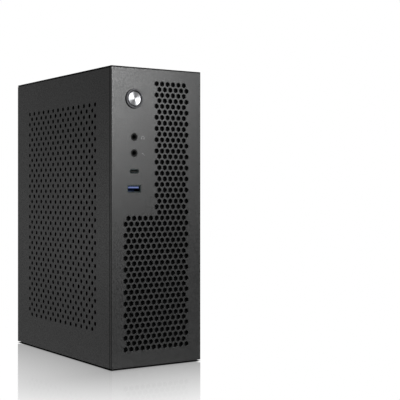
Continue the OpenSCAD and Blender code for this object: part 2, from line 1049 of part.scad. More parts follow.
module psu_case() {
    wall = 1;
    half = psu_wide / 2;
    color(dark) {
        difference() {
            block([-half, psu_front, floor_z], [half, psu_rear, psu_top]);
            block([-half + wall, psu_front + wall, floor_z + wall],
                [half - wall, psu_rear - wall, psu_top - wall]);
            // opening for the mains inlet
            block([inlet_x - 13.6, psu_rear - 2, psu_mid_z - 10.1],
                [inlet_x + 10.4, psu_rear + 1, psu_mid_z + 10.1]);
            // outlet grille
            along_y(psu_rear - 2, 4)
                translate([psu_fan_x, psu_mid_z])
                    for (r = [4:4:16])
                        difference() {
                            circle(r + 2.6);
                            circle(r);
                            for (a = [0, 90])
                                rotate(a + 45)
                                    square([50, 2], center = true);
                        }
            for (p = psu_screw_places)
                along_y(psu_rear - 2, 4)
                    translate(p)
                        circle(screw_bore);
            // cable exit
            along_y(psu_front - 1, 3)
                translate([-19, psu_mid_z])
                    soft_rect(32, 14, 3);
            // side air slots
            for (k = [0:11])
                block([-half - 1, psu_front + 14 + k * 7, floor_z + 8],
                    [half + 1, psu_front + 17.5 + k * 7, psu_top - 8]);
        }
    }
}

// circuit board of the supply with its larger parts
module psu_board() {
    low = floor_z + 5;
    deck = low + pcb;
    back = psu_rear - 24;
    start = psu_front + 6;
    color("#2c3b22") {
        difference() {
            union() {
                block([-37, start, low], [37, back, deck]);
                for (x = [-34, 34])
                    for (y = [start + 4, back - 4])
                        translate([x, y, floor_z + 1])
                            cylinder(h = 4 + tiny, r = 2.5);
            }
            for (x = [-34, 34])
                for (y = [start + 4, back - 4])
                    translate([x, y, floor_z])
                        cylinder(h = 20, r = screw_bore);
        }
        // transformer and choke
        block([-14, start + 44, deck - tiny], [14, start + 70, deck + 24]);
        block([-30, start + 78, deck - tiny], [-12, start + 96, deck + 16]);
        // cooling plates
        block([-32, start + 22, deck - tiny], [-29, start + 72, deck + 28]);
        block([22, start + 22, deck - tiny], [25, start + 72, deck + 28]);
        // capacitors
        translate([8, start + 86, deck - tiny])
            cylinder(h = 29, r = 10);
        for (x = [-20, -8, 4, 16])
            translate([x, start + 12, deck - tiny])
                cylinder(h = 20, r = 4.5);
    }
}

module place_psu_fan()
    translate([psu_fan_x, psu_rear - 21.5, psu_mid_z])
        rotate([-90, 0, 0])
            children();

module psu_fan_frame()
    color(plastic)
        place_psu_fan()
            fan_frame(38, 20, 18, 32, 9);

module psu_fan_rotor()
    color(dark)
        place_psu_fan()
            fan_rotor(20, 17, 8.5);

module ac_inlet() {
    half_wide = 11.8;
    half_tall = 9.9;
    mid = inlet_x - 1.6;
    y0 = psu_rear - 19;
    color(plastic)
        difference() {
            block([mid - half_wide, y0, psu_mid_z - half_tall],
                [mid + half_wide, rear + 1, psu_mid_z + half_tall]);
            block([mid - 9, y0 + 3, psu_mid_z - 7], [mid + 9, rear + 2, psu_mid_z + 7]);
        }
    color("goldenrod")
        for (p = [[-5, -1.5], [0, 2], [5, -1.5]])
            block([mid + p[0] - 1, y0 + 3 - tiny, psu_mid_z + p[1] - 2],
                [mid + p[0] + 1, rear - 3, psu_mid_z + p[1] + 2]);
}

// ---- front fan ----

module place_front_fan()
    translate([0, front_fan_y, front_fan_z])
        rotate([90, 0, 0])
            children();

module front_fan_bracket() {
    thick = 1;
    half = 42;
    high = front_fan_z + 43;
    color(steel) {
        along_y(front_fan_y, thick)
            difference() {
                panel([-half, floor_z], [half, high]);
                translate([0, front_fan_z])
                    circle(38);
                for (sx = [-1, 1])
                    for (sz = [-1, 1])
                        translate([sx * 35.75, front_fan_z + sz * 35.75])
                            circle(2.1);
                panel([-26, floor_z + 8], [26, front_fan_z - 44]);
            }
        block([-half, front_fan_y + thick - tiny, floor_z], [half, front_fan_y + 14, floor_z + thick]);
    }
}

module front_fan_frame()
    color(plastic)
        place_front_fan()
            fan_frame(80, 25, 38.4, 71.5, 19);

module front_fan_rotor()
    color(dark)
        place_front_fan()
            fan_rotor(25, 37.2, 18);

// self-tapping fan screws
module fan_screw() {
    difference() {
        union() {
            cylinder(h = 2.2, r1 = 4, r2 = 3);
            translate([0, 0, -9])
                cylinder(h = 9 + tiny, r = 2);
        }
        for (a = [0, 90])
            rotate(a)
                translate([-2, -0.5, 1.1])
                    cube([4, 1, 2]);
    }
}

module fan_screws()
    color(steel) {
        for (sx = [-1, 1])
            for (sz = [-1, 1])
                translate([sx * 35.75, front_fan_y + 1, front_fan_z + sz * 35.75])
                    rotate([-90, 0, 0])
                        fan_screw();
        for (a = [0:90:270])
            place_cooler_fan()
                rotate(a)
                    translate([41.25, 41.25, 20])
                        fan_screw();
    }

// ---- storage ----

module drive_bracket() {
    half = 35.1;
    long = 102;
    color(steel)
        difference() {
            union() {
                block([-half - 1, drive_front - 1, psu_top],
                    [half + 1, drive_front + long, drive_floor]);
                for (s = [-1, 1])
                    block([min(s * half, s * (half + 1)), drive_front - 1, psu_top],
                        [max(s * half, s * (half + 1)), drive_front + long, drive_floor + 6.4]);
            }
            for (y = [drive_front + 14, drive_front + 90.6])
                translate([-half - 5, y, drive_floor + 3])
                    rotate([0, 90, 0])
                        cylinder(h = 2 * half + 10, r = screw_bore);
            translate([0, drive_front + 50, psu_top - 1])
                linear_extrude(3)
                    soft_rect(46, 70, 4);
        }
}

module ssd_drive() {
    half = 34.93;
    color(dark)
        difference() {
            translate([0, drive_front + 50, drive_floor])
                linear_extrude(7)
                    soft_rect(2 * half, 100, 1.5);
            for (y = [drive_front + 14, drive_front + 90.6])
                for (s = [-1, 1])
                    translate([s * half, y, drive_floor + 3])
                        rotate([0, s * 90, 0])
                            translate([0, 0, -4])
                                cylinder(h = 5, r = screw_bore);
            block([-16, drive_front - 1, drive_floor + 2], [24, drive_front + 6, drive_floor + 5]);
        }
}

// ---- cables ----

// a plug at a cable's end
module plug(low, size)
    translate(low)
        cube(size);

lane_y = board_front + 1;
exit_y = psu_front + 3;
drive_port_z = drive_floor + 3.5;

module power_cables() {
    main_x = -9;
    cpu_x = -33;
    header_x = board_x - 12.8;
    main_radius = 4;
    cpu_radius = 2.4;
    drive_radius = 1.3;
    color(plastic) {
        // main board supply
        cable([[-19, exit_y, psu_mid_z], [-19, psu_front - 9, psu_mid_z],
            [main_x, lane_y, psu_mid_z + 17],
            [main_x, lane_y, board_top - 14], [-14, atx_y + 24, atx_z + 5],
            [header_x - 5, atx_y + 24, atx_z + 5]], main_radius);
        plug([header_x - 8, atx_y, atx_z], [8, 51.4, 9.4]);
        // processor supply
        cable([[-29.5, exit_y, psu_mid_z], [cpu_x, lane_y + 2, psu_mid_z + 8],
            [cpu_x, lane_y + 2, board_top - 18], [cpu_x, atx_y + 12, board_top - 6],
            [cpu_x, cpu_power_y - 4, board_top - 4],
            [header_x - 5, cpu_power_y - 4, cpu_power_z + 4.7]], cpu_radius);
        plug([header_x - 7, cpu_power_y - 13, cpu_power_z], [7, 17.8, 9.4]);
        // drive supply
        cable([[-8, exit_y, psu_mid_z], [-8, psu_front - 9, psu_mid_z + 4],
            [-4, psu_front - 9, drive_port_z], [-4, drive_front + 5, drive_port_z]], drive_radius);
    }
}

module signal_cables() {
    io_back = front + io_board_in + pcb;
    usb_z = usb_header[1] + 13.5;
    small = 1;
    medium = 1.3;
    large = 2.6;
    tall = board_x - 8;
    color(dark) {
        // drive data
        cable([[16, drive_front + 5, drive_port_z], [16, psu_front - 8, drive_port_z],
            [-2, psu_front - 10, drive_port_z + 10], [-2, psu_front - 10, board_bottom + 28],
            [-2, sata_header[0] + 3, sata_header[1] + 7],
            [tall - 3, sata_header[0] + 3, sata_header[1] + 7]], medium);
        plug([tall - 6, sata_header[0], sata_header[1]], [6, 6, 14]);
        // front USB ports
        cable([[port_x, io_back, top - 88], [port_x, front + 27, top - 88],
            [port_x, lane_y + 6, top - 76],
            [-22, usb_header[0] + 3.5, usb_z],
            [tall - 4, usb_header[0] + 3.5, usb_z]], large);
        plug([tall - 8, usb_header[0], usb_header[1]], [7, 7, 27]);
        // front audio sockets
        cable([[port_x, io_back, top - 71], [port_x - 1, front + 23, top - 72],
            [-40.5, lane_y + 2.3, top - 90],
            [-40, lane_y + 4, audio_header[1]], [4, audio_header[0] + 2.5, audio_header[1]],
            [tall - 3, audio_header[0] + 2.5, audio_header[1] + 5]], medium);
        plug([tall - 6, audio_header[0], audio_header[1]], [6, 5, 10]);
        // power button
        cable([[button_x + 3, front + 25, button_z], [-14.4, board_front + 21, button_z - 7],
            [-4, button_header[0] + 2.5, button_header[1] + 5],
            [tall - 3, button_header[0] + 2.5, button_header[1] + 5]], small);
        plug([tall - 6, button_header[0], button_header[1]], [6, 5, 10]);
        // processor fan
        cable([[cooler_top - 10, cpu_y - 46.1, cpu_z + 20], [cooler_top - 10, cpu_y - 50, cpu_z + 24],
            [4, cooler_header[0] + 2.5, cooler_header[1] + 5],
            [tall - 3, cooler_header[0] + 2.5, cooler_header[1] + 5]], small);
        plug([tall - 6, cooler_header[0], cooler_header[1]], [6, 5, 10]);
        // front fan
        cable([[36, front_fan_y - 12, front_fan_z + 40.1], [36, front_fan_y - 12, front_fan_z + 46],
            [0, front_fan_y + 6, front_fan_z + 48],
            [0, front_fan_header[0] + 2.5, front_fan_header[1] + 5],
            [tall - 3, front_fan_header[0] + 2.5, front_fan_header[1] + 5]], small);
        plug([tall - 6, front_fan_header[0], front_fan_header[1]], [6, 5, 10]);
    }
}

// ---- drawing ----
front_panel();
top_panel();
base_plate();
rear_panel();
left_side_panel();
right_side_panel();
left_panel_studs();
right_panel_studs();
panel_clips();
feet();
motherboard_tray();
m3_screws();
power_button_housing();
power_button_cap();
power_button_spring();
power_button_nut();
power_switch();
front_io_board();
front_io_bracket();
usb_a_shell();
usb_a_tongue();
usb_c_shell();
usb_c_tongue();
headphone_jack();
microphone_jack();
motherboard_pcb();
board_standoffs();
cpu_socket();
processor();
cooler_heatsink();
cooler_fan_frame();
cooler_fan_rotor();
ram_slots();
ram_modules();
board_heatsinks();
pcie_slot();
atx_connector();
cpu_power_connector();
board_headers();
m2_drive();
coin_cell();
rear_usb_ports();
network_jack();
video_ports();
audio_jacks();
io_shield();
slot_covers();
psu_case();
psu_board();
psu_fan_frame();
psu_fan_rotor();
ac_inlet();
front_fan_bracket();
front_fan_frame();
front_fan_rotor();
fan_screws();
drive_bracket();
ssd_drive();
power_cables();
signal_cables();
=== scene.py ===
"""Looks of the slim desktop computer tower. Metres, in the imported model's frame."""

import math
import random

import bmesh
import bpy
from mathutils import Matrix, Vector
from mathutils.bvhtree import BVHTree


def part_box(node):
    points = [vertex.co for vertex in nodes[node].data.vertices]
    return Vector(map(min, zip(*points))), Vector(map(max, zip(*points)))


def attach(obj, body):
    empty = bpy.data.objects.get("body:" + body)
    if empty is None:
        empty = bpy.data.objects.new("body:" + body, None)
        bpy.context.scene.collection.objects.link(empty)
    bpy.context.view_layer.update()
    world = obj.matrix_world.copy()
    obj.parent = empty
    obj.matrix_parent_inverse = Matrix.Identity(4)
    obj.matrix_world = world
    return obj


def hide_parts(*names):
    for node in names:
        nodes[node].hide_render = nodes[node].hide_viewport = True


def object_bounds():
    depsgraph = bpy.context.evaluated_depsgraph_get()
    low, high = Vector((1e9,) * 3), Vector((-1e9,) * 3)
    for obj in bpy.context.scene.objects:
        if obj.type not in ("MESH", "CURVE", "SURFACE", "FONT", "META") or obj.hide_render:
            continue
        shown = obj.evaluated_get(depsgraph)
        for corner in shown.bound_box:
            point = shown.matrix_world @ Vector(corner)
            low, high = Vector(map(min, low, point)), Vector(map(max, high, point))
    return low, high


MM = 0.001
# the colour sockets of a Mix node come after its number and vector sockets
MIX_COLOUR_INPUTS = (0, 6, 7)
MIX_COLOUR_OUTPUT = 2
# a Wave texture's scale times the width of one wave
WAVE_SCALE = 0.314
BUTTON_FACE_RADIUS = 6.2 * MM

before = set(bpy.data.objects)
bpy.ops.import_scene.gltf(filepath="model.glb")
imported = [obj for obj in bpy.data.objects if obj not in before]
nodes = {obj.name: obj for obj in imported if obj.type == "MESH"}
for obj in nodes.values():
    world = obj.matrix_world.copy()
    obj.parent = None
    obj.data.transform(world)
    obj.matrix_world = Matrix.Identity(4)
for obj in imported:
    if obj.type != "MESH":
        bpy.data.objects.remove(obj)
cad_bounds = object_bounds()
scene = bpy.context.scene
scene.view_settings.view_transform = "Standard"


# ---- node helpers ----


class Shader:
    """A material with a Principled shader, built node by node."""

    def __init__(self, name, **sockets):
        self.material = bpy.data.materials.new(name)
        self.material.use_nodes = True
        self.tree = self.material.node_tree
        self.principled = self.tree.nodes["Principled BSDF"]
        for socket, value in sockets.items():
            self.principled.inputs[socket.replace("_", " ")].default_value = value
        self.place = self.node("ShaderNodeTexCoord").outputs["Object"]

    def node(self, kind, **settings):
        made = self.tree.nodes.new(kind)
        for name, value in settings.items():
            setattr(made, name, value)
        return made

    def link(self, source, node, socket):
        self.tree.links.new(source, node.inputs[socket])

    def to(self, source, socket):
        """Drives one of the shader's own sockets."""
        self.tree.links.new(source, self.principled.inputs[socket])

    def scaled(self, x, y, z):
        """Object coordinates stretched along the axes."""
        mapping = self.node("ShaderNodeMapping")
        mapping.inputs["Scale"].default_value = (x, y, z)
        self.link(self.place, mapping, "Vector")
        return mapping.outputs["Vector"]

    def noise(self, scale, detail=2.0, vector=None, roughness=0.5):
        made = self.node("ShaderNodeTexNoise")
        made.inputs["Scale"].default_value = scale
        made.inputs["Detail"].default_value = detail
        made.inputs["Roughness"].default_value = roughness
        self.link(vector or self.place, made, "Vector")
        return made.outputs["Fac"]

    def ramp(self, source, *stops):
        """Maps a 0-1 value to colours, between two stops of (position, colour)."""
        made = self.node("ShaderNodeValToRGB")
        for point, (position, colour) in zip(made.color_ramp.elements, stops):
            point.position = position
            point.color = (*colour, 1)
        self.link(source, made, "Fac")
        return made.outputs["Color"]

    def span(self, source, low, high, from_low=0.0, from_high=1.0):
        """Maps a value from one range to another."""
        made = self.node("ShaderNodeMapRange")
        settings = {"From Min": from_low, "From Max": from_high, "To Min": low, "To Max": high}
        for name, value in settings.items():
            made.inputs[name].default_value = value
        self.link(source, made, "Value")
        return made.outputs["Result"]

    def feed(self, made, index, value):
        """Gives a socket a number, a colour or a link."""
        if isinstance(value, (int, float)):
            made.inputs[index].default_value = value
        elif isinstance(value, tuple):
            made.inputs[index].default_value = (*value, 1)
        else:
            self.tree.links.new(value, made.inputs[index])

    def math(self, operation, *values):
        made = self.node("ShaderNodeMath", operation=operation)
        for index, value in enumerate(values):
            self.feed(made, index, value)
        return made.outputs[0]

    def vector(self, operation, source, by=None):
        """A vector operation on a source, with a fixed second vector if it needs one."""
        made = self.node("ShaderNodeVectorMath", operation=operation)
        self.link(source, made, 0)
        if by is not None:
            made.inputs[1].default_value = by
        return made.outputs["Value" if operation == "LENGTH" else "Vector"]

    def part(self, source, axis):
        made = self.node("ShaderNodeSeparateXYZ")
        self.link(source, made, "Vector")
        return made.outputs[axis]

    def wave(self, scale, axis):
        made = self.node("ShaderNodeTexWave", bands_direction=axis)
        made.inputs["Scale"].default_value = scale
        self.link(self.place, made, "Vector")
        return made.outputs["Fac"]

    def blend(self, factor, a, b):
        """Mixes two colours by a factor."""
        made = self.node("ShaderNodeMix", data_type="RGBA")
        for index, value in zip(MIX_COLOUR_INPUTS, (factor, a, b)):
            self.feed(made, index, value)
        return made.outputs[MIX_COLOUR_OUTPUT]

    def bump(self, height, strength, distance):
        made = self.node("ShaderNodeBump")
        made.inputs["Strength"].default_value = strength
        made.inputs["Distance"].default_value = distance
        self.link(height, made, "Height")
        self.to(made.outputs["Normal"], "Normal")


def shade(colour, factor):
    return tuple(min(c * factor, 1) for c in colour)


# ---- materials ----


def blasted_metal(name, colour, roughness=0.4, metallic=0.8, flat=None, edge=0.5, painted_bore_highlight=None, shine=0.35):
    """Bead-blasted sheet with a satin sheen and a fine glint.

    Faces that don't lie across the flat axis (edges and hole walls) take the edge tone, painted shade
    that darkens them. Given a tone for the holes, only the sheet's left and right edges take the edge tone,
    and the walls of its holes take that tone, a painted highlight that lightens them.
    """
    s = Shader(name, Metallic=metallic, Specular_IOR_Level=shine, Specular_Tint=(0.62, 0.62, 0.62, 1))
    cloud = s.noise(18.0, 3.0)
    fine = s.noise(1500.0, 2.0, roughness=0.7)
    tone = s.math("ADD", s.math("MULTIPLY", cloud, 0.15), s.math("MULTIPLY", fine, 0.85))
    tint = s.ramp(tone, (0.36, shade(colour, 0.72)), (0.64, shade(colour, 1.28)))
    if flat is not None:
        across = s.math("ABSOLUTE", s.part(s.node("ShaderNodeNewGeometry").outputs["Normal"], flat))
        # cut edges and hole walls take the edge tone: painted shade
        cut = shade(colour, edge)
        if painted_bore_highlight is not None:
            # hole walls away from the outer edges take the hole tone: a painted highlight
            sideways = s.math("ABSOLUTE", s.part(s.place, "X"))
            reach = cad_bounds[1][0]
            cut = s.blend(s.span(sideways, 0, 1, reach - 1.2 * MM, reach - MM), shade(colour, painted_bore_highlight), cut)
        tint = s.blend(s.span(across, 0, 1, 0.2, 0.8), cut, tint)
    s.to(tint, "Base Color")
    glint = s.noise(800.0, 1.0)
    s.to(s.span(glint, roughness - 0.11, roughness + 0.12, 0.35, 0.65), "Roughness")
    s.bump(fine, 0.5, 0.0002)
    return s.material


def brushed_metal(name, colour, along, roughness):
    """Sheet or turned metal with fine lines along one axis."""
    s = Shader(name, Metallic=1.0)
    lines = s.noise(1.0, 3.0, s.scaled(*(30.0 if axis == along else 1400.0 for axis in "xyz")), 0.6)
    cloud = s.noise(60.0, 2.0)
    tone = s.math("ADD", s.math("MULTIPLY", lines, 0.7), s.math("MULTIPLY", cloud, 0.3))
    s.to(s.ramp(tone, (0.3, shade(colour, 0.8)), (0.7, shade(colour, 1.1))), "Base Color")
    s.to(s.span(lines, roughness - 0.08, roughness + 0.12, 0.3, 0.7), "Roughness")
    s.bump(lines, 0.15, 0.00004)
    return s.material


def painted(name, colour, roughness):
    """Powder coat with a fine orange-peel surface."""
    s = Shader(name, Specular_IOR_Level=0.25)
    peel = s.noise(900.0, 3.0, roughness=0.6)
    cloud = s.noise(35.0, 2.0)
    s.to(s.ramp(cloud, (0.35, shade(colour, 0.82)), (0.7, shade(colour, 1.2))), "Base Color")
    s.to(s.span(peel, roughness - 0.08, roughness + 0.1, 0.3, 0.7), "Roughness")
    s.bump(peel, 0.3, 0.0001)
    return s.material


def plastic(name, colour, roughness=0.45, grain=1800.0, gloss=0.0, shine=0.3):
    """Moulded plastic with a spark-eroded grain."""
    s = Shader(name, Coat_Weight=gloss, Specular_IOR_Level=shine)
    fine = s.noise(grain, 2.0, roughness=0.65)
    cloud = s.noise(50.0, 2.0)
    s.to(s.ramp(cloud, (0.3, shade(colour, 0.85)), (0.7, shade(colour, 1.18))), "Base Color")
    s.to(s.span(fine, roughness - 0.06, roughness + 0.1, 0.3, 0.7), "Roughness")
    s.bump(fine, 0.2, 0.00005)
    return s.material


def spun_metal(name, colour, centre, face_radius):
    """Turned metal with rings and highlights that fan out from the centre, and an outer rim painted dark as
    shade.
    """
    s = Shader(name, Metallic=1.0, Anisotropic=1.0, Roughness=0.34)
    outward = s.vector("MULTIPLY", s.vector("SUBTRACT", s.place, centre), (1.0, 0.0, 1.0))
    radius = s.vector("LENGTH", outward)
    rings = s.node("ShaderNodeTexNoise", noise_dimensions="1D")
    rings.inputs["Scale"].default_value = 9000.0
    rings.inputs["Detail"].default_value = 3.0
    s.link(radius, rings, "W")
    turned = s.ramp(rings.outputs["Fac"], (0.3, shade(colour, 0.86)), (0.7, shade(colour, 1.06)))
    # past the face's radius the colour is painted dark: painted shade on the outer rim
    rim = s.span(radius, 0, 1, face_radius, face_radius + 0.1 * MM)
    s.to(s.blend(rim, turned, shade(colour, 0.12)), "Base Color")
    # the highlight spreads across the lathe marks, along the radius
    s.to(s.vector("NORMALIZE", outward), "Tangent")
    s.bump(rings.outputs["Fac"], 0.08, 0.00003)
    return s.material


def circuit_board(name, colour, across):
    """Solder mask with buried copper lines. across names the two axes of the board's plane."""
    s = Shader(name, Coat_Weight=0.3, Coat_Roughness=0.2)
    lanes = []
    for lane in across:
        patch = s.noise(1.0, 1.0, s.scaled(*(234.0 if axis == lane else 81.0 for axis in "xyz")))
        lanes.append(s.math("MULTIPLY", s.span(s.wave(160.0, lane.upper()), 0, 1, 0.62, 0.78),
            s.span(patch, 0, 1, 0.5, 0.54)))
    lines = s.math("MAXIMUM", *lanes)
    via = s.node("ShaderNodeTexVoronoi")
    via.inputs["Scale"].default_value = 320.0
    s.link(s.place, via, "Vector")
    dots = s.span(via.outputs["Distance"], 1, 0, 0.1, 0.16)
    ground = s.ramp(s.noise(40.0, 2.0), (0.3, shade(colour, 0.8)), (0.7, shade(colour, 1.15)))
    tint = s.blend(lines, ground, shade(colour, 1.9))
    tint = s.blend(dots, tint, (0.35, 0.3, 0.2))
    s.to(tint, "Base Color")
    s.to(s.span(lines, 0.36, 0.26), "Roughness")
    s.bump(lines, 0.3, 0.00008)
    return s.material


GUNMETAL = (0.0102, 0.0103, 0.0103)
BLACK = (0.012, 0.012, 0.013)

# edge tones below one darken edges and hole walls as painted shade; the front's hole walls take a nine-fold
# tone as a painted highlight
side_shell = blasted_metal("side_shell_gunmetal", GUNMETAL, flat="X", edge=0.05)
front_shell = blasted_metal("front_shell_gunmetal", GUNMETAL, flat="Y", edge=0.55, painted_bore_highlight=9.0)
top_shell = blasted_metal("top_shell_gunmetal", GUNMETAL, 0.85, 0.0, flat="Z", edge=0.3, shine=0.03)
rear_shell = blasted_metal("rear_shell_gunmetal", GUNMETAL, flat="Y", edge=0.3)
inner_paint = painted("inner_black_paint", BLACK, 0.55)
black_screw = brushed_metal("black_screw", (0.03, 0.03, 0.032), "x", 0.4)
# the front USB shells are the same nickel as the rear ones, coloured near-black as painted shade
front_port_painted_shade = brushed_metal("front_port_nickel_painted_shade", (0.012, 0.015, 0.015), "y", 0.4)
plated = brushed_metal("plated_sheet", (0.6, 0.61, 0.62), "z", 0.34)
zinc = brushed_metal("zinc_screw", (0.5, 0.51, 0.53), "x", 0.36)
port_metal = brushed_metal("port_nickel", (0.66, 0.67, 0.69), "y", 0.26)
fin_metal = brushed_metal("fin_aluminium", (0.72, 0.73, 0.75), "y", 0.34)
black_anodised = blasted_metal("black_anodised", (0.03, 0.031, 0.034), 0.4, 0.6)
bezel_metal = blasted_metal("button_bezel", (0.006, 0.006, 0.0065), 0.4, 0.85)
brass = brushed_metal("brass", (0.72, 0.52, 0.24), "x", 0.32)
wire_steel = brushed_metal("spring_wire", (0.6, 0.6, 0.6), "x", 0.25)
black_plastic = plastic("black_plastic", BLACK)
socket_plastic = plastic("socket_plastic", (0.0015, 0.0015, 0.0015), 0.8, shine=0.05)
gloss_plastic = plastic("gloss_black_plastic", (0.014, 0.014, 0.016), 0.28, gloss=0.4)
blue_plastic = plastic("usb_blue_plastic", (0.003, 0.008, 0.03), 0.7, shine=0.1)
tongue_plastic = plastic("tongue_plastic", (0.004, 0.004, 0.004), 0.8, shine=0.05)
# a lighter blue for a strip on the front USB tongue: a painted highlight
painted_tongue_highlight = plastic("painted_tongue_highlight", (0.05, 0.06, 0.12), 0.6, shine=0.1)
rubber = plastic("rubber_foot", (0.014, 0.014, 0.014), 0.75, 900.0)
green_board = circuit_board("green_board", (0.012, 0.055, 0.026), "xz")
main_board = circuit_board("main_board", (0.012, 0.014, 0.016), "yz")
supply_board = circuit_board("supply_board", (0.05, 0.04, 0.018), "xy")
sleeve = plastic("cable_sleeve", BLACK, 0.7, 700.0)
jacket = plastic("cable_jacket", (0.016, 0.016, 0.018), 0.42)
drive_shell = blasted_metal("drive_shell", (0.05, 0.052, 0.058), 0.38, 0.7)

gold = brushed_metal("gold_contacts", (0.83, 0.6, 0.26), "y", 0.25)
chip_plastic = plastic("chip_epoxy", (0.014, 0.014, 0.015), 0.5, 2600.0)
ferrite = plastic("choke_ferrite", (0.05, 0.05, 0.052), 0.6, 1400.0)
ceramic = plastic("ceramic_parts", (0.32, 0.2, 0.12), 0.5, 3000.0)
memory_board = circuit_board("memory_board", (0.012, 0.05, 0.026), "xz")
green_window = plastic("green_window", (0.1, 0.5, 0.12), 0.2, gloss=0.6)
amber_window = plastic("amber_window", (0.7, 0.36, 0.04), 0.2, gloss=0.6)
rim_green = plastic("audio_rim_green", (0.2, 0.55, 0.1), 0.4)
rim_blue = plastic("audio_rim_blue", (0.08, 0.28, 0.62), 0.4)
rim_pink = plastic("audio_rim_pink", (0.72, 0.2, 0.32), 0.4)
print_ink = plastic("print_ink", (0.05, 0.051, 0.052), 0.6, 4000.0)

cap_low, cap_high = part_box("power_button_cap")
cap_centre = (cap_low + cap_high) / 2
spun = spun_metal("button_spun_metal", (0.07, 0.071, 0.073), tuple(cap_centre), BUTTON_FACE_RADIUS)

# which nodes wear each material
finish = (
    (front_shell, "front_panel"),
    (top_shell, "top_panel"),
    (side_shell, "left_side_panel right_side_panel"),
    (rear_shell, "rear_panel slot_covers"),
    (inner_paint, "base_plate motherboard_tray front_io_bracket front_fan_bracket drive_bracket psu_case"),
    (zinc, "left_panel_studs right_panel_studs m3_screws power_button_nut"),
    (black_screw, "fan_screws"),
    (brass, "board_standoffs"),
    (rubber, "feet"),
    (bezel_metal, "power_button_housing"),
    (spun, "power_button_cap"),
    (wire_steel, "power_button_spring"),
    (black_plastic, "panel_clips power_switch cooler_fan_frame front_fan_frame psu_fan_frame ac_inlet"),
    (black_plastic, "ram_slots pcie_slot atx_connector cpu_power_connector board_headers"),
    (gloss_plastic, "cooler_fan_rotor front_fan_rotor psu_fan_rotor audio_jacks"),
    (socket_plastic, "headphone_jack microphone_jack"),
    (front_port_painted_shade, "usb_a_shell usb_c_shell"),
    (blue_plastic, "usb_a_tongue"),
    (tongue_plastic, "usb_c_tongue"),
    (port_metal, "cpu_socket coin_cell rear_usb_ports network_jack video_ports"),
    (plated, "io_shield"),
    (fin_metal, "processor cooler_heatsink"),
    (black_anodised, "board_heatsinks"),
    (main_board, "motherboard_pcb front_io_board m2_drive"),
    (green_board, "ram_modules"),
    (supply_board, "psu_board"),
    (drive_shell, "ssd_drive"),
    (sleeve, "power_cables"),
    (jacket, "signal_cables"),
)
for material, names in finish:
    for name in names.split():
        piece = nodes[name]
        piece.data.materials.clear()
        piece.data.materials.append(material)


# ---- mesh builder ----


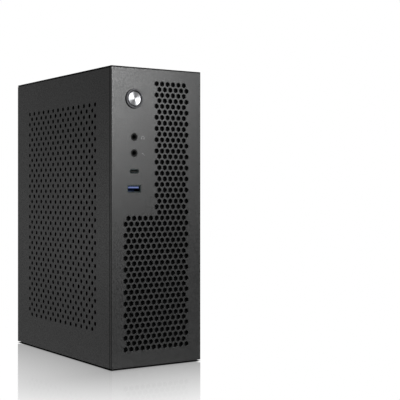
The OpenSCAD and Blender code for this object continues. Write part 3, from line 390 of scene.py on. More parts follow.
class Builder:
    """Collects closed shapes, in millimetres, into one mesh piece."""

    def __init__(self, material):
        self.points, self.faces, self.marks, self.materials = [], [], [], []
        self.use(material)

    def use(self, material):
        if material not in self.materials:
            self.materials.append(material)
        self.mark = self.materials.index(material)

    def add(self, points, faces):
        base = len(self.points)
        self.points += [tuple(p) for p in points]
        self.faces += [tuple(base + i for i in face) for face in faces]
        self.marks += [self.mark] * len(faces)

    def block(self, low, high, chamfer=0.15):
        """A box with chamfered edges."""
        middle = [(a + b) / 2 for a, b in zip(low, high)]
        half = [abs(b - a) / 2 for a, b in zip(low, high)]
        cut = min(chamfer, min(half) * 0.8)
        signs = [(x, y, z) for x in (-1, 1) for y in (-1, 1) for z in (-1, 1)]
        index, points = {}, []
        for sign in signs:
            for axis in range(3):
                index[sign, axis] = len(points)
                points.append([middle[k] + sign[k] * (half[k] - (0 if k == axis else cut)) for k in range(3)])
        faces = [[index[sign, axis] for axis in range(3)] for sign in signs]
        for axis in range(3):
            u, v = [k for k in range(3) if k != axis]
            for s in (-1, 1):
                corners = []
                for a, b in ((-1, -1), (1, -1), (1, 1), (-1, 1)):
                    sign = [0, 0, 0]
                    sign[axis], sign[u], sign[v] = s, a, b
                    corners.append(index[tuple(sign), axis])
                faces.append(corners)
            for a in (-1, 1):
                for b in (-1, 1):
                    ends = []
                    for s in (-1, 1):
                        sign = [0, 0, 0]
                        sign[axis], sign[u], sign[v] = s, a, b
                        ends.append(tuple(sign))
                    faces.append([index[ends[0], u], index[ends[1], u], index[ends[1], v], index[ends[0], v]])
        self.add(points, faces)

    def lathe(self, profile, origin, axis, steps=40):
        """A solid of revolution. The profile is (radius, height) from pole to pole."""
        turn = Vector(axis).to_track_quat("Z", "Y").to_matrix()
        points, rings = [], []
        for radius, height in profile:
            ring = []
            for k in range(steps if radius > 1e-6 else 1):
                angle = 2 * math.pi * k / steps
                ring.append(len(points))
                points.append(Vector(origin) + turn @ Vector((radius * math.cos(angle),
                    radius * math.sin(angle), height)))
            rings.append(ring)
        faces = []
        for a, b in zip(rings, rings[1:]):
            for k in range(steps):
                j = (k + 1) % steps
                corners = [a[k % len(a)], a[j % len(a)], b[j % len(b)], b[k % len(b)]]
                corners = list(dict.fromkeys(corners))
                if len(corners) > 2:
                    faces.append(corners)
        self.add(points, faces)

    def prism(self, outline, low, high, place, hole=None):
        """An outline, with one hole of as many points if asked, drawn out between two levels."""
        n = len(outline)

        def level(loop, height):
            return [place(x, y, height) for x, y in loop]

        loops = [level(outline, low), level(outline, high)]
        if hole:
            loops += [level(hole, high), level(hole, low)]
        points = [p for loop in loops for p in loop]
        faces = []
        for k in range(len(loops) - (0 if hole else 1)):
            a, b = k * n, (k + 1) % len(loops) * n
            faces += [(a + i, a + (i + 1) % n, b + (i + 1) % n, b + i) for i in range(n)]
        if not hole:
            faces += [tuple(range(n)), tuple(range((len(loops) - 1) * n, len(loops) * n))]
        self.add(points, faces)

    def tube(self, line, radius, sides=8):
        """A round wire with domed ends along a line of points."""
        rings, points = [], []
        for place, side, up, tangent, scale, push in ends_and_middle(line, radius):
            ring = []
            for k in range(sides):
                angle = 2 * math.pi * k / sides
                ring.append(len(points))
                around = side * math.cos(angle) + up * math.sin(angle)
                points.append(place + tangent * push + around * radius * scale)
            rings.append(ring)
        faces = [tuple(rings[0]), tuple(rings[-1])]
        for a, b in zip(rings, rings[1:]):
            faces += [(a[k], a[(k + 1) % sides], b[(k + 1) % sides], b[k]) for k in range(sides)]
        self.add(points, faces)

    def piece(self, name, body, slot, replaces=(), smooth=32):
        mesh = bpy.data.meshes.new(name)
        mesh.from_pydata([tuple(c * MM for c in p) for p in self.points], [], self.faces)
        for material in self.materials:
            mesh.materials.append(material)
        mesh.polygons.foreach_set("material_index", self.marks)
        shape = bmesh.new()
        shape.from_mesh(mesh)
        bmesh.ops.recalc_face_normals(shape, faces=shape.faces)
        shape.to_mesh(mesh)
        shape.free()
        mesh.shade_smooth()
        mesh.set_sharp_from_angle(angle=math.radians(smooth))
        made = bpy.data.objects.new(name, mesh)
        scene.collection.objects.link(made)
        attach(made, body)
        if replaces:
            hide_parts(*replaces)


def frames_along(line):
    """Each point with two square directions that turn as little as they can."""
    side = None
    for k, place in enumerate(line):
        tangent = (line[min(k + 1, len(line) - 1)] - line[max(k - 1, 0)]).normalized()
        if side is None:
            side = tangent.orthogonal().normalized()
        side = (side - tangent * side.dot(tangent)).normalized()
        yield place, side, tangent.cross(side), tangent


def ends_and_middle(line, radius):
    """The line's frames, each with a scale and a push along it, which round off the two ends."""
    made = list(frames_along(line))
    first, last = made[0], made[-1]
    yield *first, 0.55, -radius * 0.6
    yield *first, 0.9, -radius * 0.3
    for one in made:
        yield *one, 1.0, 0.0
    yield *last, 0.9, radius * 0.3
    yield *last, 0.55, radius * 0.6


BEND_STEPS = 12


def smooth_route(corners, bend, step):
    """Straight runs joined by smooth bends, as points about a step apart."""
    corners = [Vector(c) for c in corners]
    line = [corners[0]]
    for before, corner, after in zip(corners, corners[1:], corners[2:]):
        reach = min(bend, (corner - before).length * 0.48, (after - corner).length * 0.48)
        start = corner + (before - corner).normalized() * reach
        end = corner + (after - corner).normalized() * reach
        for k in range(BEND_STEPS + 1):
            t = k / BEND_STEPS
            line.append(start * (1 - t) ** 2 + corner * 2 * t * (1 - t) + end * t * t)
    line.append(corners[-1])
    spaced, carry = [line[0]], 0.0
    for a, b in zip(line, line[1:]):
        length = (b - a).length
        while carry + length >= step and length > 1e-9:
            a = a + (b - a).normalized() * (step - carry)
            length = (b - a).length
            carry = 0.0
            spaced.append(a)
        carry += length
    spaced.append(line[-1])
    return spaced


def box_mm(name):
    low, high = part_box(name)
    return [c / MM for c in low], [c / MM for c in high]


# ---- fans ----


def fan_wheel(name, node, housing, body, axis, hub, blades):
    """Hub cup, shaft and swept blades with a rounded section."""
    low, high = box_mm(node)
    frame_low, frame_high = box_mm(housing)
    direction = Vector(axis)
    k = [abs(c) for c in axis].index(1)
    depth = frame_high[k] - frame_low[k]
    origin = [(a + b) / 2 for a, b in zip(low, high)]
    origin[k] = frame_low[k] if direction[k] > 0 else frame_high[k]
    others = [i for i in range(3) if i != k]
    tip = max(high[i] - low[i] for i in others) / 2 - 0.15
    bottom, crown = 2.9, depth - 1.25
    made = Builder(gloss_plastic)
    rim = 1.3
    profile = [(0, rim), (1.45, rim), (1.45, crown - 1.6), (hub - 1.5, crown - 1.6), (hub - 1.5, bottom),
        (hub, bottom)]
    for step in range(6):
        angle = math.radians(step * 18)
        profile.append((hub - rim + rim * math.cos(angle), crown - rim + rim * math.sin(angle)))
    profile += [(hub - 3.4, crown), (hub - 3.6, crown - 0.18), (hub - 4.1, crown - 0.18), (hub - 4.3, crown),
        (0, crown)]
    made.lathe(profile, origin, direction, 64)
    turn = direction.to_track_quat("Z", "Y").to_matrix()
    stations, section = 9, 9
    for blade in range(blades):
        points, rings = [], []
        for i in range(stations):
            t = i / (stations - 1)
            radius = hub - 0.7 + (tip - hub + 0.7) * t
            pitch = math.radians(52 - 20 * t)
            half = min((crown - bottom - 1.2) / 2 / math.sin(pitch),
                radius * math.pi / blades * 0.86 / math.cos(pitch))
            thick = 1.25 - 0.5 * t
            mid_angle = 2 * math.pi * blade / blades + 0.32 * t ** 1.4
            loop = []
            for side in (1, -1):
                for j in range(section) if side == 1 else range(section - 2, 0, -1):
                    s = -1 + 2 * j / (section - 1)
                    along = s * half
                    camber = (1 - s * s) * half * 0.12
                    round_off = math.sqrt(max(1 - abs(s) ** 3, 0)) * (1 - 0.25 * s)
                    across = camber + side * thick / 2 * round_off
                    run = along * math.cos(pitch) - across * math.sin(pitch)
                    rise = along * math.sin(pitch) + across * math.cos(pitch)
                    angle = mid_angle + run / radius
                    height = min(max((bottom + crown) / 2 + rise, bottom + 0.2), crown - 0.2)
                    loop.append(len(points))
                    points.append(Vector(origin) + turn @ Vector((radius * math.cos(angle),
                        radius * math.sin(angle), height)))
            rings.append(loop)
        n = len(rings[0])
        faces = [tuple(rings[0]), tuple(rings[-1])]
        for a, b in zip(rings, rings[1:]):
            faces += [(a[m], a[(m + 1) % n], b[(m + 1) % n], b[m]) for m in range(n)]
        made.add(points, faces)
    made.piece(name, body, "gloss_black", [node], 40)


fan_wheel("cooler_fan_wheel", "cooler_fan_rotor", "cooler_fan_frame", "cooler_fan", (-1, 0, 0), 19, 9)
fan_wheel("front_fan_wheel", "front_fan_rotor", "front_fan_frame", "front_fan", (0, -1, 0), 18, 7)
fan_wheel("supply_fan_wheel", "psu_fan_rotor", "psu_fan_frame", "psu_fan", (0, 1, 0), 8.5, 7)


# ---- cables ----


def ring_places(count, wire):
    """Where the wires of a bundle sit across it."""
    if count == 1:
        return [(0.0, 0.0)]
    if count <= 4:
        reach = wire / math.sin(math.pi / count)
        return [(reach, 2 * math.pi * k / count) for k in range(count)]
    places, shell = [(0.0, 0.0)], 1
    while len(places) < count:
        places += [(shell * wire * 2.04, 2 * math.pi * k / (6 * shell)) for k in range(6 * shell)]
        shell += 1
    return places


def bundle(made, line, wire, count, turn_length, sides=8):
    """Wires laid round each other along a line."""
    frames = list(frames_along(line))
    lengths = [0.0]
    for a, b in zip(line, line[1:]):
        lengths.append(lengths[-1] + (b - a).length)
    for radius, angle in ring_places(count, wire):
        strand = []
        for (place, side, up, _), run in zip(frames, lengths):
            turned = angle + 2 * math.pi * run / turn_length
            strand.append(place + (side * math.cos(turned) + up * math.sin(turned)) * radius)
        made.tube(strand, wire, sides)


def tie(made, line, where, radius):
    """A nylon tie drawn tight round a bundle, with its head."""
    place, side, _, tangent = list(frames_along(line))[where]
    inner, outer = radius + 0.2, radius + 0.45
    profile = [(0, -1.1), (inner, -1.1), (outer, -0.85), (outer, 0.85), (inner, 1.1), (0, 1.1)]
    made.lathe(profile, place, tangent, 28)
    head = place + side * (radius + 0.9)
    made.block([c - 1.3 for c in head], [c + 1.3 for c in head], 0.3)


def cable_plug(made, low, high, ribs):
    """A moulded plug with grip ribs on its free end."""
    made.block(low, high, 0.35)
    span = high[1] - low[1]
    for k in range(ribs):
        y = low[1] + span * (k + 0.5) / ribs
        half = span * 0.2 / ribs
        for z in (high[2] - 0.1, low[2] - 0.3):
            made.block((low[0] + 0.6, y - half, z), (high[0] - 0.6, y + half, z + 0.4), 0.1)


# the routes repeat the CAD's: corners, wire radius, wires, length of one turn, bend
SUPPLY_LEADS = [
    ([(-19, -44.2, 22.95), (-19, -56.2, 22.95), (-9, -68, 39.95), (-9, -68, 248), (-14, -19, 256),
        (14.4, -19, 256)], 0.79, 19, 120, 14),
    ([(-29.5, -44.2, 22.95), (-33, -66, 30.95), (-33, -66, 244), (-33, -31, 256), (-33, 69, 258),
        (15.4, 69, 256.1)], 0.76, 7, 90, 12),
    ([(-8, -44.2, 22.95), (-8, -56.2, 26.95), (-4, -56.2, 47.7), (-4, -38.2, 47.7)], 0.56, 3, 40, 6),
]
SUPPLY_PLUGS = [((14.2, -43, 251), (8, 51.4, 9.4), 12), ((15.2, 60, 251.4), (7, 17.8, 9.4), 4)]
SIGNAL_LEADS = [
    ([(16, -38.2, 47.7), (16, -55.2, 47.7), (-2, -57.2, 57.7), (-2, -57.2, 120), (-2, -26, 167),
        (21.2, -26, 167)], 1.25, 1, 60, 6),
    ([(-24.7, -89.4, 188), (-24.7, -77, 188), (-24.7, -62, 200), (-22, -38.5, 231.5),
        (19.2, -38.5, 231.5)], 2.55, 1, 60, 7),
    ([(-24.7, -89.4, 205), (-25.7, -81, 204), (-40.5, -65.7, 186), (-40, -64, 104), (4, 43.5, 104),
        (21.2, 43.5, 107.9)], 0.58, 4, 34, 6),
    ([(-21.9, -79, 247), (-14.4, -48, 240), (-4, -39.5, 197), (21.2, -39.5, 197)], 0.48, 2, 16, 8),
    ([(-8, -16.1, 207), (-8, -20, 211), (4, -22.5, 215), (21.2, -22.5, 215)], 0.46, 3, 18, 3),
    ([(36, -86, 133.8), (36, -86, 139.7), (0, -68, 141.7), (0, -39.5, 153), (21.2, -39.5, 153)],
        0.46, 3, 18, 4),
]
SIGNAL_PLUGS = [
    ((21, -29, 160), (6, 6, 14), 3), ((19, -42, 218), (7, 7, 27), 5), ((21, 41, 104), (6, 5, 10), 3),
    ((21, -42, 192), (6, 5, 10), 3), ((21, -25, 210), (6, 5, 10), 3), ((21, -42, 148), (6, 5, 10), 3),
]


def harness(name, node, leads, plugs, wire_material, slot):
    made = Builder(wire_material)
    for corners, wire, count, turn_length, bend in leads:
        line = smooth_route(corners, bend, 2.5 if wire < 1 else 3)
        bundle(made, line, wire, count, turn_length, 8 if count > 1 else 14)
        if count > 6:
            made.use(black_plastic)
            for where in (0.16, 0.42, 0.68, 0.86):
                tie(made, line, int(len(line) * where), wire * (5 if count > 7 else 3.05))
            made.use(wire_material)
    made.use(black_plastic)
    for low, size, ribs in plugs:
        high = [a + b for a, b in zip(low, size)]
        cable_plug(made, low, high, ribs)
    made.piece(name, "chassis", slot, [node], 50)


harness("supply_leads", "power_cables", SUPPLY_LEADS, SUPPLY_PLUGS, sleeve, "cable_sleeve")
harness("signal_leads", "signal_cables", SIGNAL_LEADS, SIGNAL_PLUGS, jacket, "cable_jacket")


# ---- boards and sockets ----


def rectangle(low, high):
    return [(low[0], low[1]), (high[0], low[1]), (high[0], high[1]), (low[0], high[1])]


def along_x(y, z, x):
    return Vector((x, y, z))


def along_y(x, z, y):
    return Vector((x, y, z))


def open_socket(made, low, high, wall, back):
    """A metal shell open towards +Y with a closed back."""
    inner_low = (low[0] + wall, low[2] + wall)
    inner_high = (high[0] - wall, high[2] - wall)
    made.prism(rectangle((low[0], low[2]), (high[0], high[2])), low[1] + back, high[1], along_y,
        rectangle(inner_low, inner_high))
    made.block(low, (high[0], low[1] + back + 0.05, high[2]), 0.2)


def rear_sockets():
    """Open metal shells with their tongues, and what shows in the network and audio sockets."""
    face = box_mm("motherboard_pcb")[0][0]
    low, high = box_mm("rear_usb_ports")
    foot = box_mm("motherboard_pcb")[0][2]
    made = Builder(port_metal)
    usb_width = 7.8
    for up, tongue in ((58, black_plastic), (80, blue_plastic), (128, blue_plastic)):
        for k in (0, 1):
            x1, z1 = face - k * usb_width, foot + up
            made.use(port_metal)
            open_socket(made, (x1 - usb_width, low[1], z1), (x1, high[1], z1 + 14.4), 0.6, 3)
            made.use(tongue)
            made.block((x1 - 6.4, low[1] + 2.9, z1 + 1.7), (x1 - 4.5, high[1] - 0.8, z1 + 12.7), 0.25)
            made.use(gold)
            for pin in range(4):
                z = z1 + 3.2 + pin * 2.4
                made.block((x1 - 4.55, high[1] - 7, z), (x1 - 4.4, high[1] - 1.6, z + 1), 0.04)
    made.piece("rear_usb_sockets", "chassis", "port_metal", ["rear_usb_ports"])

    low, high = box_mm("video_ports")
    made = Builder(port_metal)
    for k in (0, 1):
        x1 = face - k * 9
        made.use(port_metal)
        open_socket(made, (x1 - 8, low[1], foot + 104), (x1, high[1], foot + 120), 0.8, 3)
        made.use(black_plastic)
        made.block((x1 - 4.6, low[1] + 2.9, foot + 107), (x1 - 3.4, high[1] - 0.8, foot + 117), 0.2)
        made.block((x1 - 7.1, low[1] + 3, foot + 105), (x1 - 0.9, low[1] + 6, foot + 119), 0.2)
    made.piece("video_sockets", "chassis", "port_metal", ["video_ports"])

    # two status windows and eight contacts in the network socket
    low, high = box_mm("network_jack")
    made = Builder(gold)
    for pin in range(8):
        z = (low[2] + high[2]) / 2 - 4.4 + pin * 1.27
        made.block((high[0] - 3.1, low[1] + 3.2, z - 0.15), (high[0] - 2.6, high[1] - 4, z + 0.15), 0.05)
    for z, window in ((low[2] + 1.0, green_window), (high[2] - 3.6, amber_window)):
        made.use(window)
        made.block((low[0] + 0.25, high[1] - 0.4, z), (low[0] + 1.45, high[1] + 0.06, z + 2.6), 0.06)
    made.piece("network_details", "chassis", "port_metal")

    # coloured rims on the audio sockets
    low, high = box_mm("audio_jacks")
    made = Builder(rim_green)
    for k, tint in enumerate((rim_pink, rim_green, rim_blue)):
        made.use(tint)
        centre = (face - (k + 0.5) * 11.6, high[1] - 0.1, (low[2] + high[2]) / 2)
        made.lathe([(1.95, 0), (4.1, 0), (4.1, 0.16), (3.9, 0.26), (2.3, 0.26), (1.95, 0.1), (1.95, 0)],
            centre, (0, 1, 0), 48)
    made.piece("audio_rims", "chassis", "gloss_black")


def memory():
    """Two modules with chips, small parts, notches and a gold edge."""
    low, high = box_mm("ram_modules")
    slots_low, slots_high = box_mm("ram_slots")
    made = Builder(memory_board)
    x1, bottom, end = high[0], low[2], high[2]
    edge = [(x1, bottom), (x1, bottom + 62), (x1 - 3.2, bottom + 62.4), (x1 - 3.2, bottom + 63.6),
        (x1, bottom + 64), (x1, end), (x1 - 12, end), (x1 - 13, end - 1.2), (x1 - 15, end - 1.2),
        (x1 - 16, end), (low[0], end), (low[0], bottom), (x1 - 16, bottom), (x1 - 15, bottom + 1.2),
        (x1 - 13, bottom + 1.2), (x1 - 12, bottom)]
    for y in (slots_low[1] + 3.2, slots_high[1] - 3.2):
        made.use(memory_board)
        made.prism(edge, y - 0.6, y + 0.6, along_y)
        made.use(chip_plastic)
        for k in range(8):
            z = low[2] + 6 + k * 15.6
            made.block((high[0] - 24, y - 1.7, z), (high[0] - 11, y - 0.58, z + 10), 0.18)
        made.use(port_metal)
        for k in range(38):
            z = low[2] + 5 + k * 3.25
            made.block((high[0] - 9.4, y - 0.95, z), (high[0] - 8.8, y - 0.58, z + 1.1), 0.06)
            made.block((low[0] + 2.2, y - 0.9, z + 0.7), (low[0] + 2.7, y - 0.58, z + 1.6), 0.05)
            made.block((high[0] - 9.4, y + 0.58, z), (high[0] - 8.8, y + 0.95, z + 1.1), 0.06)
        made.use(gold)
        for k in range(98):
            z = low[2] + 3 + k * 1.3
            if not 60.5 < z - low[2] < 65:
                made.block((high[0] - 3.6, y - 0.66, z), (high[0] - 0.3, y - 0.58, z + 0.8), 0.02)
    made.piece("memory_modules", "chassis", "board_green", ["ram_modules"])


def stick_drive():
    """Flat drive card with its chips, socket and screw."""
    low, high = box_mm("m2_drive")
    made = Builder(green_board)
    made.block((high[0] - 4.8, low[1], low[2]), (high[0] - 4, low[1] + 80, high[2]), 0.1)
    made.use(chip_plastic)
    for k, (size, margin) in enumerate(((12, 3), (12, 3), (9, 5.5), (13, 4))):
        y = low[1] + 8 + k * 17
        made.block((low[0], y, low[2] + margin), (high[0] - 4.75, y + size, high[2] - margin), 0.18)
    made.use(port_metal)
    chance = random.Random(11)
    for k in range(60):
        y, z = low[1] + 6 + chance.random() * 68, low[2] + chance.choice((1.1, 1.9, 19.2, 20.2))
        made.block((high[0] - 5.3, y, z), (high[0] - 4.75, y + 1.1, z + 0.6), 0.07)
    made.use(black_plastic)
    made.block((high[0] - 5.4, low[1] + 79, low[2]), (high[0], high[1], high[2]), 0.3)
    made.use(zinc)
    made.lathe([(0, 0), (2.4, 0), (2.4, 4.0), (2.0, 4.6), (0.9, 4.7), (0.8, 4.2), (0, 4.2)],
        (high[0], low[1] + 1.5, (low[2] + high[2]) / 2), (-1, 0, 0), 28)
    made.piece("stick_drive", "chassis", "board_green", ["m2_drive"])


def cell():
    """The clock's coin cell in its round holder, under a spring tab."""
    low, high = box_mm("coin_cell")
    x1, y, z = high[0], (low[1] + high[1]) / 2, (low[2] + high[2]) / 2
    made = Builder(black_plastic)
    made.lathe([(0, 0), (11.4, 0), (11.4, 3.9), (11.0, 4.4), (10.4, 4.4), (10.2, 4.1), (10.2, 1), (0, 1)],
        (x1, y, z), (-1, 0, 0), 56)
    made.use(port_metal)
    made.lathe([(0, 1.02), (9.6, 1.02), (10, 1.4), (10, 3.8), (9.7, 4.12), (9.2, 4.2), (7.6, 4.2),
        (7.45, 4.08), (0, 4.08)], (x1, y, z), (-1, 0, 0), 56)
    made.block((x1 - 4.4, y - 2, z + 8.2), (x1 - 4.15, y + 2, z + 11.2), 0.08)
    made.piece("clock_cell", "chassis", "port_metal", ["coin_cell"])


BOARD_MARGIN = 1.5
SMALL_PART_TRIES = 1500


def board_parts():
    """Chips, chokes, capacitors and small parts, each put only where nothing else stands."""
    low, high = box_mm("motherboard_pcb")
    face = low[0]
    corners, triangles = [], []
    for name, node in nodes.items():
        if name in ("motherboard_pcb", "power_cables", "signal_cables"):
            continue
        base = len(corners)
        corners += [v.co.copy() for v in node.data.vertices]
        triangles += [tuple(base + i for i in face_.vertices) for face_ in node.data.polygons]
    tree = BVHTree.FromPolygons(corners, triangles)
    taken = []
    made = Builder(chip_plastic)

    def free(y, z, wide, high_, tall, gap=0.5):
        y0, y1, z0, z1 = y - wide / 2 - gap, y + wide / 2 + gap, z - high_ / 2 - gap, z + high_ / 2 + gap
        if min(y0 - low[1], high[1] - y1, z0 - low[2], high[2] - z1) < BOARD_MARGIN:
            return False
        if any(y0 < b and y1 > a and z0 < d and z1 > c for a, b, c, d in taken):
            return False
        for i in range(5):
            for j in range(5):
                start = Vector((face - tall - 0.6, y0 + (y1 - y0) * i / 4, z0 + (z1 - z0) * j / 4)) * MM
                if tree.ray_cast(start, Vector((1, 0, 0)), (tall + 0.7) * MM)[0] is not None:
                    return False
        taken.append((y0, y1, z0, z1))
        return True

    def slab(y, z, wide, high_, tall, chamfer=0.15, lift=0.0):
        made.block((face - tall, y - wide / 2, z - high_ / 2),
            (face - lift, y + wide / 2, z + high_ / 2), chamfer)

    def leaded(y, z, wide, tall, pitch=0.8):
        """A square chip with leads on all four sides."""
        if not free(y, z, wide + 2, wide + 2, tall):
            return
        made.use(chip_plastic)
        slab(y, z, wide, wide, tall, 0.15, 0.15)
        made.use(port_metal)
        leads = [pitch * (k + 1) - wide / 2 for k in range(int(wide / pitch) - 1)]
        for at in leads:
            slab(y + at, z, 0.3, wide + 1.8, 0.25, 0.04)
        for at in leads:
            slab(y, z + at, wide + 1.8, 0.3, 0.25, 0.04)

    def choke(y, z):
        if free(y, z, 7, 7, 6.4):
            made.use(ferrite)
            slab(y, z, 6.8, 6.8, 6.2, 0.7, 0.3)
            made.use(port_metal)
            slab(y, z, 7.2, 2.4, 0.9, 0.1)

    def can(y, z, radius=3.1, tall=7.2):
        if free(y, z, radius * 2, radius * 2, tall):
            made.use(black_plastic)
            slab(y, z, radius * 2 + 0.3, radius * 2 + 0.3, 0.9, 0.3)
            made.use(fin_metal)
            made.lathe([(0, 0.8), (radius, 0.8), (radius, 1.5), (radius - 0.25, 1.8), (radius, 2.1),
                (radius, tall - 0.5), (radius - 0.4, tall), (0, tall)], (face, y, z), (-1, 0, 0), 30)

    for k in range(7):
        choke(36 + k * 8.4, 229.5)
    for k in range(3):
        choke(81, 150 + k * 26)
    for k in range(9):
        can(20 + k * 7.4, 141.5, 2.6, 6.4)
    for y, z in ((-12, 246), (-4, 246), (20, 246), (28, 246), (74, 206), (74, 214), (74, 198), (-30, 176),
            (-38, 176), (60, 248), (-44, 206), (-13, 150), (-5, 150), (-13, 158), (92, 110), (92, 118),
            (50, 108), (58, 108)):
        can(y, z)
    for y, z, wide in ((-30, 100, 12), (66, 108, 7), (72, 144, 8), (-8, 238, 7), (60, 150, 6), (-38, 212, 10),
            (-14, 126, 9), (6, 108, 9), (24, 108, 6), (42, 248, 6)):
        leaded(y, z, wide, 1.2)
    for k in range(8):
        y, z = 34 + k * 6.4, 223
        if free(y, z, 5, 5.4, 1.1):
            made.use(chip_plastic)
            slab(y, z, 4.6, 4.8, 1.0, 0.12)
            made.use(port_metal)
            slab(y, z + 0.4, 3.8, 5.2, 0.3, 0.05)
    for y, z in ((-20, 158), (54, 100), (-44, 130)):
        if free(y, z, 8, 3.6, 2.2):
            made.use(port_metal)
            slab(y, z, 7.6, 3.2, 2.0, 0.7)
    chance = random.Random(5)
    for _ in range(SMALL_PART_TRIES):
        y = low[1] + 3 + chance.random() * (high[1] - low[1] - 6)
        z = low[2] + 3 + chance.random() * (high[2] - low[2] - 6)
        big = chance.random() < 0.25
        wide, tall_ = (2.0, 1.2) if big else (1.1, 0.6)
        if chance.random() < 0.5:
            wide, tall_ = tall_, wide
        if free(y, z, wide, tall_, 0.7, 0.35):
            body = ceramic if chance.random() < 0.6 else chip_plastic
            made.use(port_metal)
            slab(y, z, wide, tall_, 0.42, 0.05)
            made.use(body)
            if wide > tall_:
                slab(y, z, wide * 0.62, tall_ + 0.05, 0.5, 0.05)
            else:
                slab(y, z, wide + 0.05, tall_ * 0.62, 0.5, 0.05)
    made.piece("board_parts", "chassis", "board_black")


rear_sockets()
memory()
stick_drive()
cell()
board_parts()


# ---- front sockets ----


def front_socket_details():
    """A black plastic collar that fills each audio hole, and a lighter blue strip on the blue tongue's front
    edge: a painted highlight.
    """
    face = box_mm("front_panel")[0][1]
    made = Builder(socket_plastic)
    for node in ("headphone_jack", "microphone_jack"):
        low, high = box_mm(node)
        nose = low[1] - face
        centre = ((low[0] + high[0]) / 2, face, (low[2] + high[2]) / 2)
        made.lathe([(1.9, nose), (3.55, nose), (3.55, 0.25), (3.3, 0.08), (2.3, 0.08), (1.9, 0.45),
            (1.9, nose)], centre, (0, 1, 0), 48)
    low, high = box_mm("usb_a_tongue")
    # painted highlight: a lighter strip along the blue tongue's front edge
    made.use(painted_tongue_highlight)
    made.block((low[0] + 1, low[1] - 0.05, high[2] - 1.45), (high[0] - 1, low[1] + 0.1, high[2] - 0.95), 0.03)
    made.piece("front_socket_details", "chassis", "black_plastic")


front_socket_details()


# ---- dust filters ----


def woven_nylon(name, colour, pitch=0.6 * MM):
    """Plain weave of fine black threads."""
    s = Shader(name, Roughness=0.9, Specular_IOR_Level=0.02)
    weave = s.math("MULTIPLY", *(s.wave(WAVE_SCALE / pitch, axis) for axis in "YZ"))
    s.to(s.ramp(weave, (0.1, shade(colour, 0.4)), (0.8, shade(colour, 1.6))), "Base Color")
    s.bump(weave, 0.4, 0.0002)
    return s.material


# near-black as painted shade: it stands for the dark inside of the case seen through the holes
painted_shade_filter_cloth = woven_nylon("painted_shade_filter_cloth", (0.0015, 0.0015, 0.0016))
FILTER_BORDER = 3.0
FILTER_THICKNESS = 0.25
FILTER_LIP = 0.1


def inset(outline, width):
    """An anticlockwise outline of upright and level sides, moved inward by a width."""
    def inward(start, end):
        along = Vector((end[0] - start[0], end[1] - start[1], 0)).normalized()
        return Vector((-along.y, along.x, 0)) * width

    moved = []
    for k, corner in enumerate(outline):
        after = outline[(k + 1) % len(outline)]
        shift = inward(outline[k - 1], corner) + inward(corner, after)
        moved.append((corner[0] + shift.x, corner[1] + shift.y))
    return moved


def dust_filter(name, body, place, level, outline):
    """A framed sheet of cloth just inside a perforated panel; the outline runs anticlockwise."""
    made = Builder(painted_shade_filter_cloth)
    made.prism(outline, level, level + FILTER_THICKNESS, place)
    made.use(rubber)
    made.prism(outline, level - FILTER_LIP, level + FILTER_THICKNESS + FILTER_LIP, place,
        inset(outline, FILTER_BORDER))
    made.piece(name, body, "rubber")


def dust_filters():
    """A fine filter behind the side and front holes, its cloth near-black as painted shade, so every hole
    reads black.
    """
    side_low, side_high = box_mm("left_side_panel")
    front_low, front_high = box_mm("front_panel")
    field = rectangle((side_low[1] + 21, side_low[2] + 25), (side_high[1] - 25, side_high[2] - 25))
    dust_filter("left_dust_filter", "left_side", along_x, side_high[0] + 0.15, field)
    dust_filter("right_dust_filter", "right_side", along_x, box_mm("right_side_panel")[0][0] - 0.4, field)
    io_low, io_high = box_mm("front_io_bracket")
    left, right = front_low[0] + 8.5, front_high[0] - 8.5
    bottom, step, top = front_low[2] + 10, io_low[2] - 1, front_high[2] - 8
    beside_io = io_high[0] + 1
    dust_filter("front_dust_filter", "chassis", along_y, front_high[1] + 0.15, [
        (left, bottom), (right, bottom), (right, top), (beside_io, top), (beside_io, step), (left, step)])


dust_filters()


# ---- front marks ----


def front_marks():
    """A headphone and a microphone printed in thin grey lines beside their sockets."""
    face = box_mm("front_panel")[0][1]
    left, top = box_mm("front_panel")[0][0], box_mm("top_panel")[1][2]

    def place(x, z, level):
        return Vector((x, face - level, z))

    def half_ring(x, z, radius, line, steps=24):
        angles = [math.pi * k / steps for k in range(steps + 1)]
        return [(x + reach * math.cos(angle), z + reach * math.sin(angle))
            for reach, order in ((radius + line / 2, angles), (radius - line / 2, angles[::-1]))
            for angle in order]

    def strip(a, b, line):
        run = Vector((b[0] - a[0], b[1] - a[1])).normalized()
        side = Vector((-run[1], run[0])) * line / 2
        made.prism([(a[0] + side[0], a[1] + side[1]), (b[0] + side[0], b[1] + side[1]),
            (b[0] - side[0], b[1] - side[1]), (a[0] - side[0], a[1] - side[1])], *ink, place)

    made = Builder(print_ink)
    ink = (-0.02, 0.03)
    x, z = left + 32.9, top - 64.6
    made.prism(half_ring(x, z, 1.4, 0.3), *ink, place)
    for side in (-1, 1):
        strip((x + side * 1.4, z + 0.1), (x + side * 1.4, z - 1.4), 0.3)
        strip((x + side * 1.1, z - 0.2), (x + side * 1.1, z - 1.45), 0.5)
    x, z = left + 33.4, top - 79.6
    strip((x - 1.4, z + 1.0), (x + 1.0, z - 0.7), 0.26)
    strip((x - 1.2, z + 0.85), (x - 0.1, z + 0.1), 0.7)
    strip((x + 1.0, z - 0.7), (x + 1.6, z - 1.1), 0.2)
    made.piece("front_marks", "chassis", "port_metal")


front_marks()


# ---- studio ----


def area_light(name, place, aim, size, power):
    data = bpy.data.lights.new(name, "AREA")
    data.shape = "RECTANGLE"
    data.size, data.size_y = size
    data.energy = power
    lamp = bpy.data.objects.new(name, data)
    lamp.location = place
    lamp.rotation_euler = (Vector(aim) - Vector(place)).to_track_quat("-Z", "Y").to_euler()
    scene.collection.objects.link(lamp)


MIRROR_REACH = 0.2
PAINTED_SHADOW_REACH = 0.6 * MM


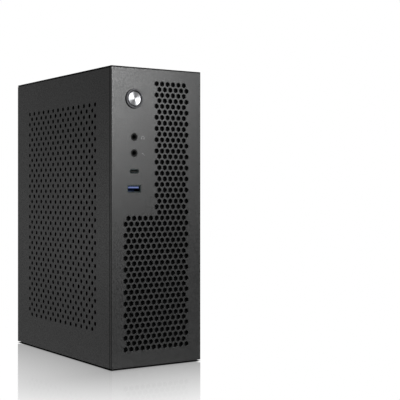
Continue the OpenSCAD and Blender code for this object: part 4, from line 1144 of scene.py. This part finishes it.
def studio():
    """A white surround, a white floor that mirrors faintly close to the tower with a painted contact shadow
    under it, and three softboxes.
    """
    bpy.ops.mesh.primitive_plane_add(size=12, location=(0, 0, 0))
    floor = bpy.context.object
    floor.name = "studio_floor"
    s = Shader("studio_floor")
    case_low, case_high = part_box("front_panel")
    # distance outside the case's outline on the floor
    beyond = s.vector("SUBTRACT", s.vector("ABSOLUTE", s.place), (case_high[0], -case_low[1], 0))
    distance = s.vector("LENGTH", s.vector("MAXIMUM", beyond))
    fade = s.span(distance, 0.64, 0.0, 0.0, MIRROR_REACH)
    # painted contact shadow: the floor turns to a dark diffuse under the case and just beyond its outline
    under = s.span(distance, 1.0, 0.0, 0.0, PAINTED_SHADOW_REACH)
    mirror = s.node("ShaderNodeBsdfGlossy")
    mirror.inputs["Color"].default_value = (1, 1, 1, 1)
    s.link(s.span(s.noise(40.0, 1.0), 0.035, 0.055), mirror, "Roughness")
    glow = s.node("ShaderNodeEmission")
    mix = s.node("ShaderNodeMixShader")
    s.link(fade, mix, "Fac")
    s.link(glow.outputs[0], mix, 1)
    s.link(mirror.outputs[0], mix, 2)
    shadow = s.node("ShaderNodeBsdfDiffuse")
    shadow.inputs["Color"].default_value = (0.01, 0.01, 0.01, 1)
    contact = s.node("ShaderNodeMixShader")
    s.link(under, contact, "Fac")
    s.link(mix.outputs[0], contact, 1)
    s.link(shadow.outputs[0], contact, 2)
    s.link(contact.outputs[0], s.tree.nodes["Material Output"], "Surface")
    floor.data.materials.append(s.material)

    world = bpy.data.worlds.new("studio_world")
    scene.world = world
    world.use_nodes = True
    surround = world.node_tree.nodes["Background"]
    surround.inputs["Color"].default_value = (1, 1, 1, 1)
    surround.inputs["Strength"].default_value = 1.0

    area_light("key_softbox", (0.12, -0.66, 0.40), (-0.04, -0.1, 0.2), size=(0.24, 0.3), power=19.0)
    area_light("side_softbox", (-0.62, 0.62, 0.05), (-0.05, -0.05, 0.1), size=(0.3, 0.3), power=1.2)
    area_light("rear_softbox", (0.35, 0.75, 0.5), (0.0, 0.1, 0.15), size=(0.5, 0.5), power=9.0)


def photo_camera():
    """Level camera a little above the tower's middle, off the front left corner."""
    data = bpy.data.cameras.new("photo_camera")
    data.lens = 89.57
    data.sensor_width = 36
    data.shift_y = -0.01934
    data.clip_start = 0.01
    camera = bpy.data.objects.new("photo_camera", data)
    camera.location = (-0.48236, -0.89392, 0.16129)
    camera.rotation_euler = (math.pi / 2, 0, -0.59108)
    scene.collection.objects.link(camera)
    scene.camera = camera


studio()
photo_camera()
